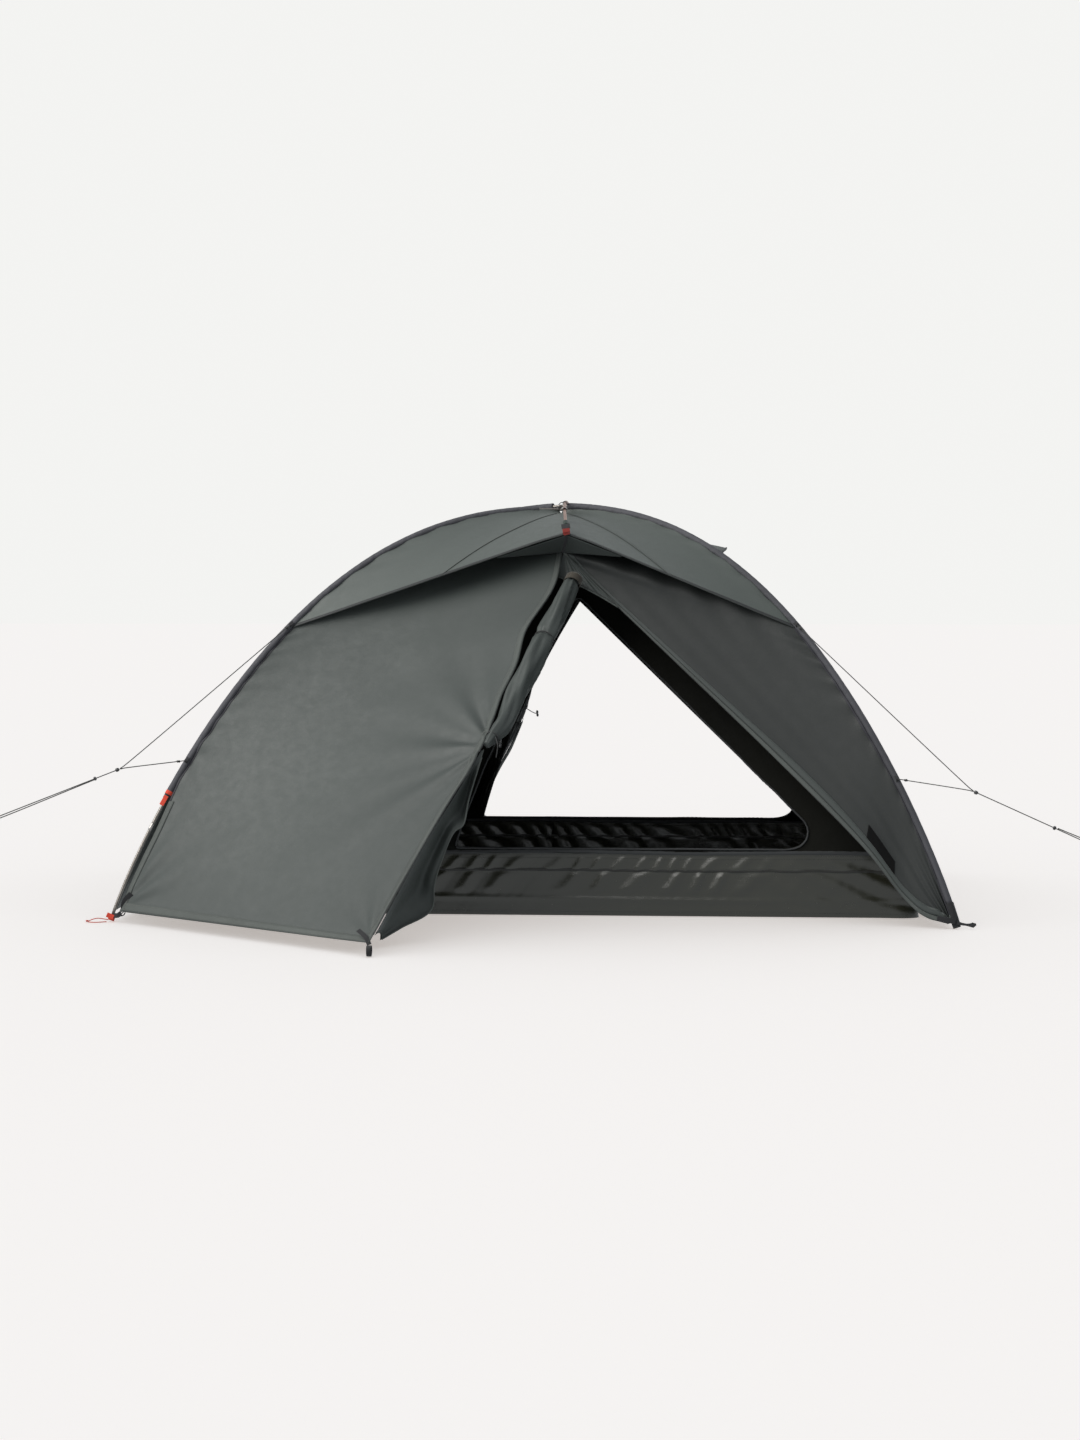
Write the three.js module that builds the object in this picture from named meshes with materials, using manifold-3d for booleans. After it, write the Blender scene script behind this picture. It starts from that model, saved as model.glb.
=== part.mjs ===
// Dome tent, pitched: two crossing poles, a short brow pole, a fly with a vestibule and a side door at
// the front and the same at the rear, a hung inner tent with a tub floor, and two bridle guylines.
// Millimetres. +X is the tent's right, +Y its rear, +Z up. The origin is on the ground under the middle
// of the floor. The rear is the mirror image of the front.
import * as THREE from "three";
import { mergeVertices } from "three/addons/utils/BufferGeometryUtils.js";
import Module from "manifold-3d";

const wasm = await Module();
wasm.setup();

// Main poles: each half runs from the peak to a foot.
const footX = 1130;
const footY = 650;
const peakX = 50;
const peakZ = 1126;
const archWidthPower = 2.33;
const archHeightPower = 1.12;
const poleRadius = 4.35;
const crossingLift = 10;
const poleEnd = 0.997;

// Sleeves, their ends and what holds the pole tips.
const sleeveInner = 5.6;
const sleeveOuter = 7.6;
const sleeveStart = 0.055;
const leftSleeveEnd = 0.88;
const rightSleeveEnd = 0.982;
const tipLength = 9;
const tipRadius = 3.6;
const collarInner = 6.2;
const collarOuter = 9.4;

// Cloth panels. Their edges stop short of the sleeve they are sewn to.
const cloth = 2;
const panelGap = 12;
const looseGap = 24;
const browEnd = 0.62;
const panelTop = 0.64;
const panelFoot = 0.992;
const browTip = [85, -385, 1042];
const edgeTop = [52, -292, 982];
const tiePoint = [-112, -790, 489];
const pegPoint = [-352, -1222, 32];
const zipTop = [98, -300, 966];
const zipFoot = [1078, -640, 40];
const endHem = [1128, 30];
const endShare = 0.84;

// Vents in the two ends.
const ventWidth = 240;
const ventHeight = 64;
const ventAt = 0.34;
const ventReach = [150, -24];
const ventBase = 930;
const strutRadius = 3;

// Inner tent.
const tubLength = 2064;
const tubWidth = 920;
const tubHeight = 174;
const tubCorner = 60;
const tubSheet = 3;
const innerShare = [0.95, 0.75];
const innerDrop = 52;
const innerStart = 0.09;
const innerEnd = 0.935;
const innerSeam = 3.5;
const innerEndShare = 0.6;
const innerTop = [50, -42, 1050];
const doorPeak = [104, 866];
const doorLeft = [-215, 205];
const doorRight = [742, 205];
const doorCorner = 70;

// Guylines.
const lineRadius = 1.3;
const bridleHigh = 0.612;
const bridleLow = 0.836;
const leftJoin = [-1074, -750, 421];
const leftFar = [-1372, -1040, 299];
const rightJoin = [1155, -750, 373];
const rightFar = [1440, -1010, 252];
const leftGrip = 79;
const rightGrip = 260;
const returnSpread = 9;

const tent = new THREE.Group();

const paint = {
  poleGrey: { color: 0x625d58, roughness: 0.4, metalness: 0.7 },
  poleCopper: { color: 0xa9796b, roughness: 0.35, metalness: 0.7 },
  sleeve: { color: 0x3c3c41, roughness: 0.9, metalness: 0 },
  fly: { color: 0x67706d, roughness: 0.75, metalness: 0 },
  inner: { color: 0x2d2e2a, roughness: 0.6, metalness: 0 },
  black: { color: 0x1c1c1c, roughness: 0.6, metalness: 0 },
  red: { color: 0xd84a36, roughness: 0.8, metalness: 0 },
  cord: { color: 0x4a4a44, roughness: 0.9, metalness: 0 },
};

const vec = (p) => new THREE.Vector3(p[0], p[1], p[2]);

function add(name, geometry, finish) {
  const mesh = new THREE.Mesh(geometry, new THREE.MeshStandardMaterial(paint[finish]));
  mesh.name = name;
  tent.add(mesh);
  return mesh;
}

function mirrored(geometry) {
  const copy = geometry.clone();
  copy.scale(1, -1, 1);
  const index = copy.getIndex();
  if (index) {
    const turned = Array.from(index.array);
    for (let i = 0; i < turned.length; i += 3) [turned[i], turned[i + 1]] = [turned[i + 1], turned[i]];
    copy.setIndex(turned);
    return copy;
  }
  const position = copy.getAttribute("position");
  const a = new THREE.Vector3();
  const b = new THREE.Vector3();
  for (let i = 0; i < position.count; i += 3) {
    a.fromBufferAttribute(position, i);
    b.fromBufferAttribute(position, i + 1);
    position.setXYZ(i, b.x, b.y, b.z);
    position.setXYZ(i + 1, a.x, a.y, a.z);
  }
  return copy;
}

// A piece at the front, and its mirror image at the rear.
function addPair(name, geometry, finish) {
  add(`${name}_front`, geometry, finish);
  add(`${name}_rear`, mirrored(geometry), finish);
}

function bare(geometry) {
  const copy = geometry.clone();
  for (const key of Object.keys(copy.attributes)) {
    if (key !== "position") copy.deleteAttribute(key);
  }
  return mergeVertices(copy, 1e-4);
}

function solid(geometry) {
  const clean = bare(geometry);
  const vertProperties = new Float32Array(clean.getAttribute("position").array);
  const triVerts = new Uint32Array(clean.getIndex().array);
  return new wasm.Manifold(new wasm.Mesh({ numProp: 3, vertProperties, triVerts }));
}

function fromSolid(result) {
  const mesh = result.getMesh();
  const geometry = new THREE.BufferGeometry();
  geometry.setAttribute("position", new THREE.BufferAttribute(new Float32Array(mesh.vertProperties), 3));
  geometry.setIndex(Array.from(mesh.triVerts));
  return geometry;
}

function cut(geometry, tool) {
  return fromSolid(solid(geometry).subtract(solid(tool)));
}

// ---- Pole arches -------------------------------------------------------------------------------

// A point on a half pole: side and end are -1 or 1, r runs from 0 at the peak to 1 at the foot.
function arch(side, end, r, lift = 0) {
  const height = peakZ * (1 - r ** archWidthPower) ** (1 / archHeightPower);
  const x = peakX + (side * footX - peakX) * r;
  return new THREE.Vector3(x, end * footY * r, height + lift * (1 - r) ** 6);
}

// The pole from front left to rear right lies under the other one where they cross.
const liftOf = (side, end) => (side * end > 0 ? 0 : crossingLift);

function archPath(side, end, from, to, steps) {
  const points = [];
  for (let i = 0; i <= steps; i += 1) {
    points.push(arch(side, end, from + ((to - from) * i) / steps, liftOf(side, end)));
  }
  return new THREE.CatmullRomCurve3(points, false, "centripetal");
}

function ring(outer, inner, sides) {
  const round = (radius, turn) => {
    const points = [];
    for (let i = 0; i < sides; i += 1) {
      const angle = (turn * 2 * Math.PI * i) / sides;
      points.push(new THREE.Vector2(radius * Math.cos(angle), radius * Math.sin(angle)));
    }
    return points;
  };
  const shape = new THREE.Shape(round(outer, 1));
  if (inner > 0) shape.holes.push(new THREE.Path(round(inner, -1)));
  return shape;
}

function tube(path, steps, outer, inner = 0, sides = 8) {
  const options = { steps, extrudePath: path, bevelEnabled: false, curveSegments: 1 };
  return new THREE.ExtrudeGeometry(ring(outer, inner, sides), options);
}

function line(from, to) {
  return new THREE.LineCurve3(from, to);
}

// ---- Cloth -------------------------------------------------------------------------------------

// A closed sheet of even thickness over the surface point(u, v), u and v from 0 to 1.
function sheet(point, columns, rows, thickness = cloth) {
  const front = [];
  const back = [];
  const small = 1e-3;
  for (let j = 0; j <= rows; j += 1) {
    for (let i = 0; i <= columns; i += 1) {
      const u = i / columns;
      const v = j / rows;
      const alongU = point(Math.min(u + small, 1), v).sub(point(Math.max(u - small, 0), v));
      const alongV = point(u, Math.min(v + small, 1)).sub(point(u, Math.max(v - small, 0)));
      const normal = alongU.cross(alongV).normalize().multiplyScalar(thickness / 2);
      front.push(point(u, v).add(normal));
      back.push(point(u, v).sub(normal));
    }
  }
  const wide = columns + 1;
  const shift = wide * (rows + 1);
  const faces = [];
  const quad = (a, b, c, d) => faces.push(a, b, c, a, c, d);
  for (let j = 0; j < rows; j += 1) {
    for (let i = 0; i < columns; i += 1) {
      const a = j * wide + i;
      quad(a, a + 1, a + 1 + wide, a + wide);
      quad(a + shift, a + wide + shift, a + 1 + wide + shift, a + 1 + shift);
    }
  }
  for (let i = 0; i < columns; i += 1) {
    const low = rows * wide + i;
    quad(i + 1, i, i + shift, i + 1 + shift);
    quad(low, low + 1, low + 1 + shift, low + shift);
  }
  for (let j = 0; j < rows; j += 1) {
    const left = j * wide;
    const right = left + columns;
    quad(left, left + wide, left + wide + shift, left + shift);
    quad(right + wide, right, right + shift, right + wide + shift);
  }
  const geometry = new THREE.BufferGeometry();
  geometry.setFromPoints([...front, ...back]);
  geometry.setIndex(faces);
  return geometry;
}

// A surface from one edge curve to another, pulled to a middle curve between them.
function between(left, right, middle) {
  return (u, v) => {
    const a = left(v);
    const b = right(v);
    const point = a.clone().lerp(b, u);
    if (!middle) return point;
    const pull = middle(v).sub(a.lerp(b, 0.5));
    return point.addScaledVector(pull, 4 * u * (1 - u));
  };
}

// Moves an edge curve off its pole, square to the pole and towards the target curve.
function clearOf(edge, target, gap) {
  const small = 1e-3;
  return (v) => {
    const point = edge(v);
    const along = edge(Math.min(v + small, 1)).sub(edge(Math.max(v - small, 0))).normalize();
    const way = target(v).sub(point);
    way.addScaledVector(along, -way.dot(along)).normalize();
    return point.addScaledVector(way, gap(v));
  };
}

function polyline(points) {
  const curve = new THREE.CatmullRomCurve3(points.map(vec), false, "centripetal");
  return (v) => curve.getPoint(v);
}

const straight = (from, to) => (v) => vec(from).lerp(vec(to), v);

// A soft closed form round a centre line: width(v) and depth(v) are its half sizes across X and Y.
function bundle(centre, width, depth, steps, sides) {
  const rings = [];
  for (let j = 0; j <= steps; j += 1) {
    const v = j / steps;
    const middle = centre(v);
    for (let i = 0; i < sides; i += 1) {
      const angle = (2 * Math.PI * i) / sides;
      const offset = new THREE.Vector3(width(v) * Math.cos(angle), depth(v) * Math.sin(angle), 0);
      rings.push(middle.clone().add(offset));
    }
  }
  const faces = [];
  for (let j = 0; j < steps; j += 1) {
    for (let i = 0; i < sides; i += 1) {
      const a = j * sides + i;
      const b = j * sides + ((i + 1) % sides);
      faces.push(a, b + sides, b, a, a + sides, b + sides);
    }
  }
  for (let i = 1; i < sides - 1; i += 1) {
    const last = steps * sides;
    faces.push(0, i, i + 1, last, last + i + 1, last + i);
  }
  const geometry = new THREE.BufferGeometry();
  geometry.setFromPoints(rings);
  geometry.setIndex(faces);
  return geometry;
}

// ---- Poles -------------------------------------------------------------------------------------

function buildPoles() {
  const halves = [["left", "front", -1, -1], ["right", "front", 1, -1], ["left", "rear", -1, 1], ["right", "rear", 1, 1]];
  for (const [sideName, endName, side, end] of halves) {
    add(`pole_${sideName}_${endName}`, tube(archPath(side, end, 0.0003, poleEnd, 26), 26, poleRadius), "poleGrey");
    const foot = arch(side, end, poleEnd);
    const way = arch(side, end, poleEnd).sub(arch(side, end, poleEnd - 0.01)).normalize();
    const tipFrom = foot.clone().addScaledVector(way, 0.4);
    const tipTo = tipFrom.clone().addScaledVector(way, tipLength);
    add(`pole_tip_${sideName}_${endName}`, tube(line(tipFrom, tipTo), 1, tipRadius), "black");

    const sleeveEnd = side < 0 ? leftSleeveEnd : rightSleeveEnd;
    const sleevePath = archPath(side, end, sleeveStart, sleeveEnd, 18);
    add(`sleeve_${sideName}_${endName}`, tube(sleevePath, 18, sleeveOuter, sleeveInner), "sleeve");

    // The collar round the tip: a red webbing eye on the left, a black pocket on the right.
    const collarLength = side < 0 ? 15 : 42;
    const collarTop = tipTo.clone().addScaledVector(way, 1.5 - collarLength);
    const collarLow = tipTo.clone().addScaledVector(way, 1.5);
    const collarName = side < 0 ? `foot_eye_left_${endName}` : `foot_pocket_right_${endName}`;
    add(collarName, tube(line(collarTop, collarLow), 1, collarOuter, collarInner), side < 0 ? "red" : "black");
  }
}

const browPole = new THREE.QuadraticBezierCurve3(
  new THREE.Vector3(browTip[0] - 4, browTip[1] + 30, browTip[2] + 26),
  new THREE.Vector3(peakX, 0, 2 * (peakZ + crossingLift + 11) - browTip[2] - 26),
  new THREE.Vector3(browTip[0] - 4, -browTip[1] - 30, browTip[2] + 26),
);

function buildBrowPole() {
  add("brow_pole", tube(browPole, 24, poleRadius), "poleCopper");
  const end = browPole.getPoint(0);
  const way = browPole.getTangent(0).negate();
  const from = end.clone().addScaledVector(way, 0.4);
  addPair("brow_cap", tube(line(from, from.clone().addScaledVector(way, 20)), 1, 6.5), "black");
  const corners = [[62, 0], [0, 34], [-62, 0], [0, -34]].map(([x, y]) => new THREE.Vector2(x, y));
  const patch = new THREE.ExtrudeGeometry(new THREE.Shape(corners), { depth: cloth, bevelEnabled: false });
  patch.translate(peakX, 0, peakZ - poleRadius - cloth - 9);
  add("crown_patch", patch, "fly");
}

// ---- Fly ---------------------------------------------------------------------------------------

function archSpan(side, end, from, to) {
  return (v) => arch(side, end, from + (to - from) * v, crossingLift / 2);
}

const evenGap = () => panelGap;

// Left of the sleeve's end the cloth stands further from the bare pole.
function wideningGap(from, to) {
  return (v) => panelGap + (looseGap - panelGap) * THREE.MathUtils.smoothstep(v, from, to);
}

function buildBrow() {
  const top = 0.075;
  const left = archSpan(-1, -1, top, browEnd);
  const right = archSpan(1, -1, top, browEnd);
  const ridge = (v) => {
    const y = THREE.MathUtils.lerp(-40, browTip[1], v);
    const drop = (peakZ - 12 - browTip[2]) * v ** 1.6;
    return new THREE.Vector3(THREE.MathUtils.lerp(peakX, browTip[0], v), y, peakZ - 12 - drop);
  };
  const leftEdge = clearOf(left, ridge, evenGap);
  const rightEdge = clearOf(right, ridge, evenGap);
  const surface = (u, v) => {
    if (u < 0.5) return leftEdge(v).lerp(ridge(v), 2 * u);
    return ridge(v).lerp(rightEdge(v), 2 * u - 1);
  };
  addPair("brow_panel", sheet(surface, 8, 8), "fly");
}

function ventTool(side) {
  const shape = new THREE.Shape();
  shape.moveTo(-ventWidth / 2, 0);
  shape.absellipse(0, 0, ventWidth / 2, ventHeight, Math.PI, 0, true, 0);
  const depth = 400;
  const tool = new THREE.ExtrudeGeometry(shape, { depth, bevelEnabled: false, curveSegments: 10 });
  tool.rotateX(Math.PI / 2);
  tool.rotateZ(Math.PI / 2);
  tool.translate(peakX + side * (depth / 2 + 220) - depth / 2, 0, ventBase);
  return tool;
}

// The middle of an end panel, level with the point r of its poles.
function endMiddle(side, r) {
  const pole = arch(side, -1, r);
  const slope = THREE.MathUtils.lerp(peakX, side * endHem[0], (peakZ - pole.z) / peakZ);
  const x = THREE.MathUtils.lerp(slope, pole.x, endShare);
  return new THREE.Vector3(x, 0, Math.max(pole.z * 0.985, endHem[1]));
}

function buildEnd(sideName, side) {
  const top = 0.085;
  const front = archSpan(side, -1, top, panelFoot);
  const rear = archSpan(side, 1, top, panelFoot);
  const middle = (v) => endMiddle(side, THREE.MathUtils.lerp(top, panelFoot, v));
  const gap = side < 0 ? wideningGap(0.82, 0.92) : evenGap;
  const surface = between(clearOf(front, middle, gap), clearOf(rear, middle, gap), middle);
  const panel = side < 0 ? (u, v) => surface(1 - u, v) : surface;
  add(`end_panel_${sideName}`, cut(sheet(panel, 8, 12), ventTool(side)), "fly");
}

function buildVent(sideName, side) {
  const hinge = endMiddle(side, ventAt).add(new THREE.Vector3(side * 9, 0, 8));
  const tip = hinge.clone().add(new THREE.Vector3(side * ventReach[0], 0, ventReach[1]));
  const surface = (u, v) => {
    const across = 2 * u - 1;
    const half = THREE.MathUtils.lerp(ventWidth / 2 + 10, ventWidth / 2 - 30, v);
    const point = hinge.clone().lerp(tip, v);
    point.y = across * half;
    point.x += side * THREE.MathUtils.lerp(52, -30, v) * across ** 2;
    point.z -= THREE.MathUtils.lerp(8, 34, v) * across ** 2;
    return point;
  };
  const hood = side > 0 ? surface : (u, v) => surface(1 - u, v);
  add(`vent_hood_${sideName}`, sheet(hood, 6, 3), "fly");
  const top = tip.clone().add(new THREE.Vector3(-side * 10, 0, -6));
  const low = top.clone().add(new THREE.Vector3(-side * 62, 0, -52));
  add(`vent_strut_${sideName}`, tube(line(top, low), 1, strutRadius), "black");
}

const doorEdge = polyline([edgeTop, [-38, -545, 735], tiePoint, [-240, -1018, 255], pegPoint]);

function buildVestibule() {
  const pole = archSpan(-1, -1, panelTop, panelFoot);
  const surface = between(clearOf(pole, doorEdge, wideningGap(0.6, 0.8)), doorEdge, null);
  addPair("vestibule_panel", sheet(surface, 8, 10), "fly");
}

const zipLine = straight(zipTop, zipFoot);

function buildDoorSide() {
  const pole = archSpan(1, -1, panelTop, panelFoot);
  const surface = between(zipLine, clearOf(pole, zipLine, evenGap), null);
  addPair("door_side_panel", sheet(surface, 4, 10), "fly");
}

function buildRolledDoor() {
  const centre = (v) => {
    const edge = doorEdge(0.035 + 0.925 * v);
    const off = Math.abs(v - 0.5) * 2;
    return edge.add(new THREE.Vector3(22 + 26 * off, 24 + 14 * off, -14 * off));
  };
  const width = (v) => 10 + 18 * (2 * Math.abs(v - 0.5)) ** 0.8;
  const depth = (v) => 9 + 9 * (2 * Math.abs(v - 0.5)) ** 0.8;
  addPair("rolled_door", bundle(centre, width, depth, 14, 8), "fly");

  const toggle = new THREE.CylinderGeometry(4, 4, 34, 8);
  toggle.rotateX(Math.PI / 2 - 0.6);
  toggle.translate(tiePoint[0] + 44, tiePoint[1] + 20, tiePoint[2] + 4);
  addPair("door_toggle", toggle, "black");
}

// The slider stands on the zip's tape, clear of both panels, and points down the zip.
function buildZipSlider() {
  const along = vec(zipFoot).sub(vec(zipTop)).normalize();
  const shape = new THREE.Shape();
  shape.moveTo(-3, 0);
  shape.lineTo(3, 0);
  shape.lineTo(5, 16);
  shape.lineTo(0, 20);
  shape.lineTo(-5, 16);
  const slider = new THREE.ExtrudeGeometry(shape, { depth: 6, bevelEnabled: false });
  const across = new THREE.Vector3(0, -1, 0).cross(along).normalize();
  const out = new THREE.Vector3().crossVectors(across, along).normalize();
  slider.applyMatrix4(new THREE.Matrix4().makeBasis(across, along.clone(), out.clone()));
  const place = vec(zipTop).addScaledVector(along, 60).addScaledVector(across, -14);
  slider.translate(place.x, place.y, place.z);
  addPair("fly_zip_slider", slider, "black");
}

function buildFeetTrim() {
  const shape = new THREE.Shape();
  shape.moveTo(-6.5, 0);
  shape.lineTo(6.5, 0);
  shape.lineTo(6.5, 30);
  shape.lineTo(-6.5, 30);
  const end = arch(-1, -1, leftSleeveEnd);
  const way = end.clone().sub(arch(-1, -1, leftSleeveEnd - 0.01)).normalize();
  const side = new THREE.Vector3(1, 0, 0).addScaledVector(way, -way.x).normalize();
  const out = new THREE.Vector3().crossVectors(side, way);
  const tab = new THREE.ExtrudeGeometry(shape, { depth: 1.5, bevelEnabled: false });
  tab.applyMatrix4(new THREE.Matrix4().makeBasis(side, way, out));
  const at = end.clone().addScaledVector(way, 3).addScaledVector(out, -10.5);
  tab.translate(at.x, at.y, at.z);
  addPair("pull_tab_left", tab, "red");

  const frame = new THREE.Shape();
  frame.moveTo(-9, -6);
  frame.lineTo(9, -6);
  frame.lineTo(9, 6);
  frame.lineTo(-9, 6);
  frame.holes.push(new THREE.Path([[-6, -3], [-6, 3], [6, 3], [6, -3]].map(([x, y]) => new THREE.Vector2(x, y))));
  const hook = new THREE.ExtrudeGeometry(frame, { depth: 2.5, bevelEnabled: false });
  hook.rotateX(Math.PI / 2);
  hook.rotateY(-0.9);
  hook.translate(-footX + 34, -footY - 3, 24);
  addPair("corner_hook_left", hook, "black");

  const loop = new THREE.ExtrudeGeometry(ring(15, 11, 10), { depth: 12, bevelEnabled: false });
  loop.rotateY(Math.PI / 2);
  loop.translate(pegPoint[0] - 6, pegPoint[1] - 8, 15.2);
  addPair("peg_loop", loop, "black");
}

// ---- Inner tent --------------------------------------------------------------------------------

function roundedRect(length, width, corner) {
  const x = length / 2;
  const y = width / 2;
  const shape = new THREE.Shape();
  shape.moveTo(-x + corner, -y);
  shape.lineTo(x - corner, -y);
  shape.absarc(x - corner, -y + corner, corner, -Math.PI / 2, 0, false);
  shape.lineTo(x, y - corner);
  shape.absarc(x - corner, y - corner, corner, 0, Math.PI / 2, false);
  shape.lineTo(-x + corner, y);
  shape.absarc(-x + corner, y - corner, corner, Math.PI / 2, Math.PI, false);
  shape.lineTo(-x, -y + corner);
  shape.absarc(-x + corner, -y + corner, corner, Math.PI, 1.5 * Math.PI, false);
  return shape;
}

function buildTub() {
  const block = (inset, base, depth) => {
    const outline = roundedRect(tubLength - 2 * inset, tubWidth - 2 * inset, tubCorner - inset);
    const geometry = new THREE.ExtrudeGeometry(outline, { depth, bevelEnabled: false, curveSegments: 3 });
    return geometry.translate(0, 0, base);
  };
  add("tub_floor", cut(block(0, 0, tubHeight), block(tubSheet, tubSheet, tubHeight)), "inner");
}

function innerArch(side, end, from, to) {
  return (v) => {
    const point = arch(side, end, from + (to - from) * v);
    return new THREE.Vector3(point.x * innerShare[0], point.y * innerShare[1], point.z - innerDrop);
  };
}

function doorTool() {
  const shape = new THREE.Shape();
  shape.moveTo(doorLeft[0], doorLeft[1]);
  shape.lineTo(doorRight[0] - doorCorner, doorRight[1]);
  shape.quadraticCurveTo(doorRight[0] + 20, doorRight[1], doorRight[0], doorRight[1] + doorCorner);
  shape.lineTo(doorPeak[0], doorPeak[1]);
  const tool = new THREE.ExtrudeGeometry(shape, { depth: 560, bevelEnabled: false, curveSegments: 5 });
  tool.rotateX(Math.PI / 2);
  return tool.translate(0, -20, 0);
}

function buildInnerWalls() {
  const base = tubHeight + 2;
  const edge = (side, end) => {
    const curve = innerArch(side, end, innerStart, innerEnd);
    return (v) => {
      const point = curve(v);
      return new THREE.Vector3(point.x, point.y, Math.max(point.z, base));
    };
  };
  const rise = (z) => THREE.MathUtils.clamp((z - base) / (innerTop[2] - base), 0, 1);
  const seam = () => innerSeam;

  const left = edge(-1, -1);
  const right = edge(1, -1);
  const wallMiddle = (v) => {
    const from = left(v);
    const y = THREE.MathUtils.lerp(-tubWidth / 2 + 4, innerTop[1], rise(from.z));
    return new THREE.Vector3((from.x + right(v).x) / 2, y, from.z);
  };
  const wall = between(clearOf(left, wallMiddle, seam), clearOf(right, wallMiddle, seam), wallMiddle);
  addPair("inner_wall", cut(sheet(wall, 12, 8), doorTool()), "inner");

  for (const [sideName, side] of [["left", -1], ["right", 1]]) {
    const front = edge(side, -1);
    const rear = edge(side, 1);
    const endMiddle = (v) => {
      const from = front(v);
      const slope = THREE.MathUtils.lerp(side * (tubLength / 2 - 4), peakX, rise(from.z));
      return new THREE.Vector3(THREE.MathUtils.lerp(slope, from.x, innerEndShare), 0, from.z);
    };
    const surface = between(clearOf(front, endMiddle, seam), clearOf(rear, endMiddle, seam), endMiddle);
    const facing = side < 0 ? (u, v) => surface(1 - u, v) : surface;
    add(`inner_end_${sideName}`, sheet(facing, 6, 8), "inner");
  }
}

function buildInnerDoor() {
  const slope = (doorPeak[0] - doorLeft[0]) / (doorPeak[1] - doorLeft[1]);
  const centre = (v) => {
    const z = THREE.MathUtils.lerp(doorPeak[1] - 20, doorLeft[1] + 45, v);
    const y = THREE.MathUtils.lerp(-tubWidth / 2, innerTop[1], (z - tubHeight) / (innerTop[2] - tubHeight));
    return new THREE.Vector3(doorLeft[0] + slope * (z - doorLeft[1]) + 12, y + 42, z);
  };
  const size = (v) => 12 + 12 * Math.sin(Math.PI * v) ** 0.5;
  addPair("inner_door", bundle(centre, size, size, 8, 8), "inner");
}

// ---- Guylines ----------------------------------------------------------------------------------

// Two branches from the sleeve meet in the cleat. The main line runs out from it through the tensioner,
// turns round and comes back to the tensioner, grip away from the cleat.
function buildGuyline(sideName, side, join, grip, far) {
  const off = new THREE.Vector3(side * 4, -12, -2);
  const high = arch(side, -1, bridleHigh, liftOf(side, -1)).add(off);
  const low = arch(side, -1, bridleLow, liftOf(side, -1)).add(off);
  const joint = vec(join);
  const way = vec(far).sub(joint).normalize();
  const aside = new THREE.Vector3(0, 0, 1).cross(way).normalize();
  const over = new THREE.Vector3().crossVectors(way, aside);
  const near = (target) => joint.clone().addScaledVector(target.clone().sub(joint).normalize(), 14);
  const turn = joint.clone().addScaledVector(way, 3);
  const bridle = new THREE.CatmullRomCurve3([high, near(high), turn, near(low), low], false, "centripetal");
  add(`guy_bridle_${sideName}`, tube(bridle, 32, lineRadius), "cord");

  const along = (distance, sideways) => {
    return joint.clone().addScaledVector(way, distance).addScaledVector(aside, sideways);
  };
  add(`guy_cleat_${sideName}`, tube(line(along(7, 0), along(16, 0)), 1, 5, 2), "black");

  const reach = vec(far).distanceTo(joint);
  const path = [along(8, 0), along(grip, 0), along(reach - 40, 0), along(reach - 12, 0)];
  path.push(along(reach, returnSpread), along(reach - 12, 2 * returnSpread), along(grip + 7, returnSpread));
  const main = new THREE.CatmullRomCurve3(path, false, "centripetal");
  add(`guy_line_${sideName}`, tube(main, 48, lineRadius), "cord");

  const body = new THREE.ExtrudeGeometry(ring(5.4, 2.4, 10), { depth: 5, bevelEnabled: false });
  body.applyMatrix4(new THREE.Matrix4().makeBasis(aside, over, way));
  const at = along(grip, 0);
  body.translate(at.x, at.y, at.z);
  add(`guy_tensioner_${sideName}`, body, "black");
}

buildPoles();
buildBrowPole();
buildBrow();
for (const [sideName, side] of [["left", -1], ["right", 1]]) {
  buildEnd(sideName, side);
  buildVent(sideName, side);
}
buildVestibule();
buildDoorSide();
buildRolledDoor();
buildZipSlider();
buildFeetTrim();
buildTub();
buildInnerWalls();
buildInnerDoor();
buildGuyline("left", -1, leftJoin, leftGrip, leftFar);
buildGuyline("right", 1, rightJoin, rightGrip, rightFar);

export default tent;
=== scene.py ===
"""Dome tent, pitched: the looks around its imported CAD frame. Metres, +X right, +Y rear, +Z up."""
import math

import bmesh
import bpy
import numpy as np
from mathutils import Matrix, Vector


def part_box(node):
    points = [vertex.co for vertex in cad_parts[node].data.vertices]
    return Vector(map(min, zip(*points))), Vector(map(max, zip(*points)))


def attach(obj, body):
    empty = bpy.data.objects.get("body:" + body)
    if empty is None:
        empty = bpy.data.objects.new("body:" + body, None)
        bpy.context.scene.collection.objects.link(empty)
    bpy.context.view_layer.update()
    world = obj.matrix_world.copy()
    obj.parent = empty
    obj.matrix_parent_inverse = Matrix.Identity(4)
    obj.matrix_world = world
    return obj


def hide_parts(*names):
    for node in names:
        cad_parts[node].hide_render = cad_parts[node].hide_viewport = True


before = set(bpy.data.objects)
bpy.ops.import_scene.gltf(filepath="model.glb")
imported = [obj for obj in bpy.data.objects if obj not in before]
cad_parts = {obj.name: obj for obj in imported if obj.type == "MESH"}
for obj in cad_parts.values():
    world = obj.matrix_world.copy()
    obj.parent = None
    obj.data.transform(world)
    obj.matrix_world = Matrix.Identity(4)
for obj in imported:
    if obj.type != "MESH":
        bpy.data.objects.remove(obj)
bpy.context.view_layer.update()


# ---- Sizes, the same as the CAD model's, in metres ------------------------------------------------
FOOT_X, FOOT_Y = 1.130, 0.650
PEAK_X, PEAK_Z = 0.050, 1.126
WIDTH_POWER, HEIGHT_POWER = 2.33, 1.12
CROSSING_LIFT = 0.010
POLE_R = 0.00435
POLE_END = 0.997
SLEEVE_R = 0.0080
SLEEVE_END = {-1: 0.880, 1: 0.982}
PANEL_GAP = 0.0085
BROW_END = 0.62
BROW_TIP = (0.085, -0.385, 1.051)
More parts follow.
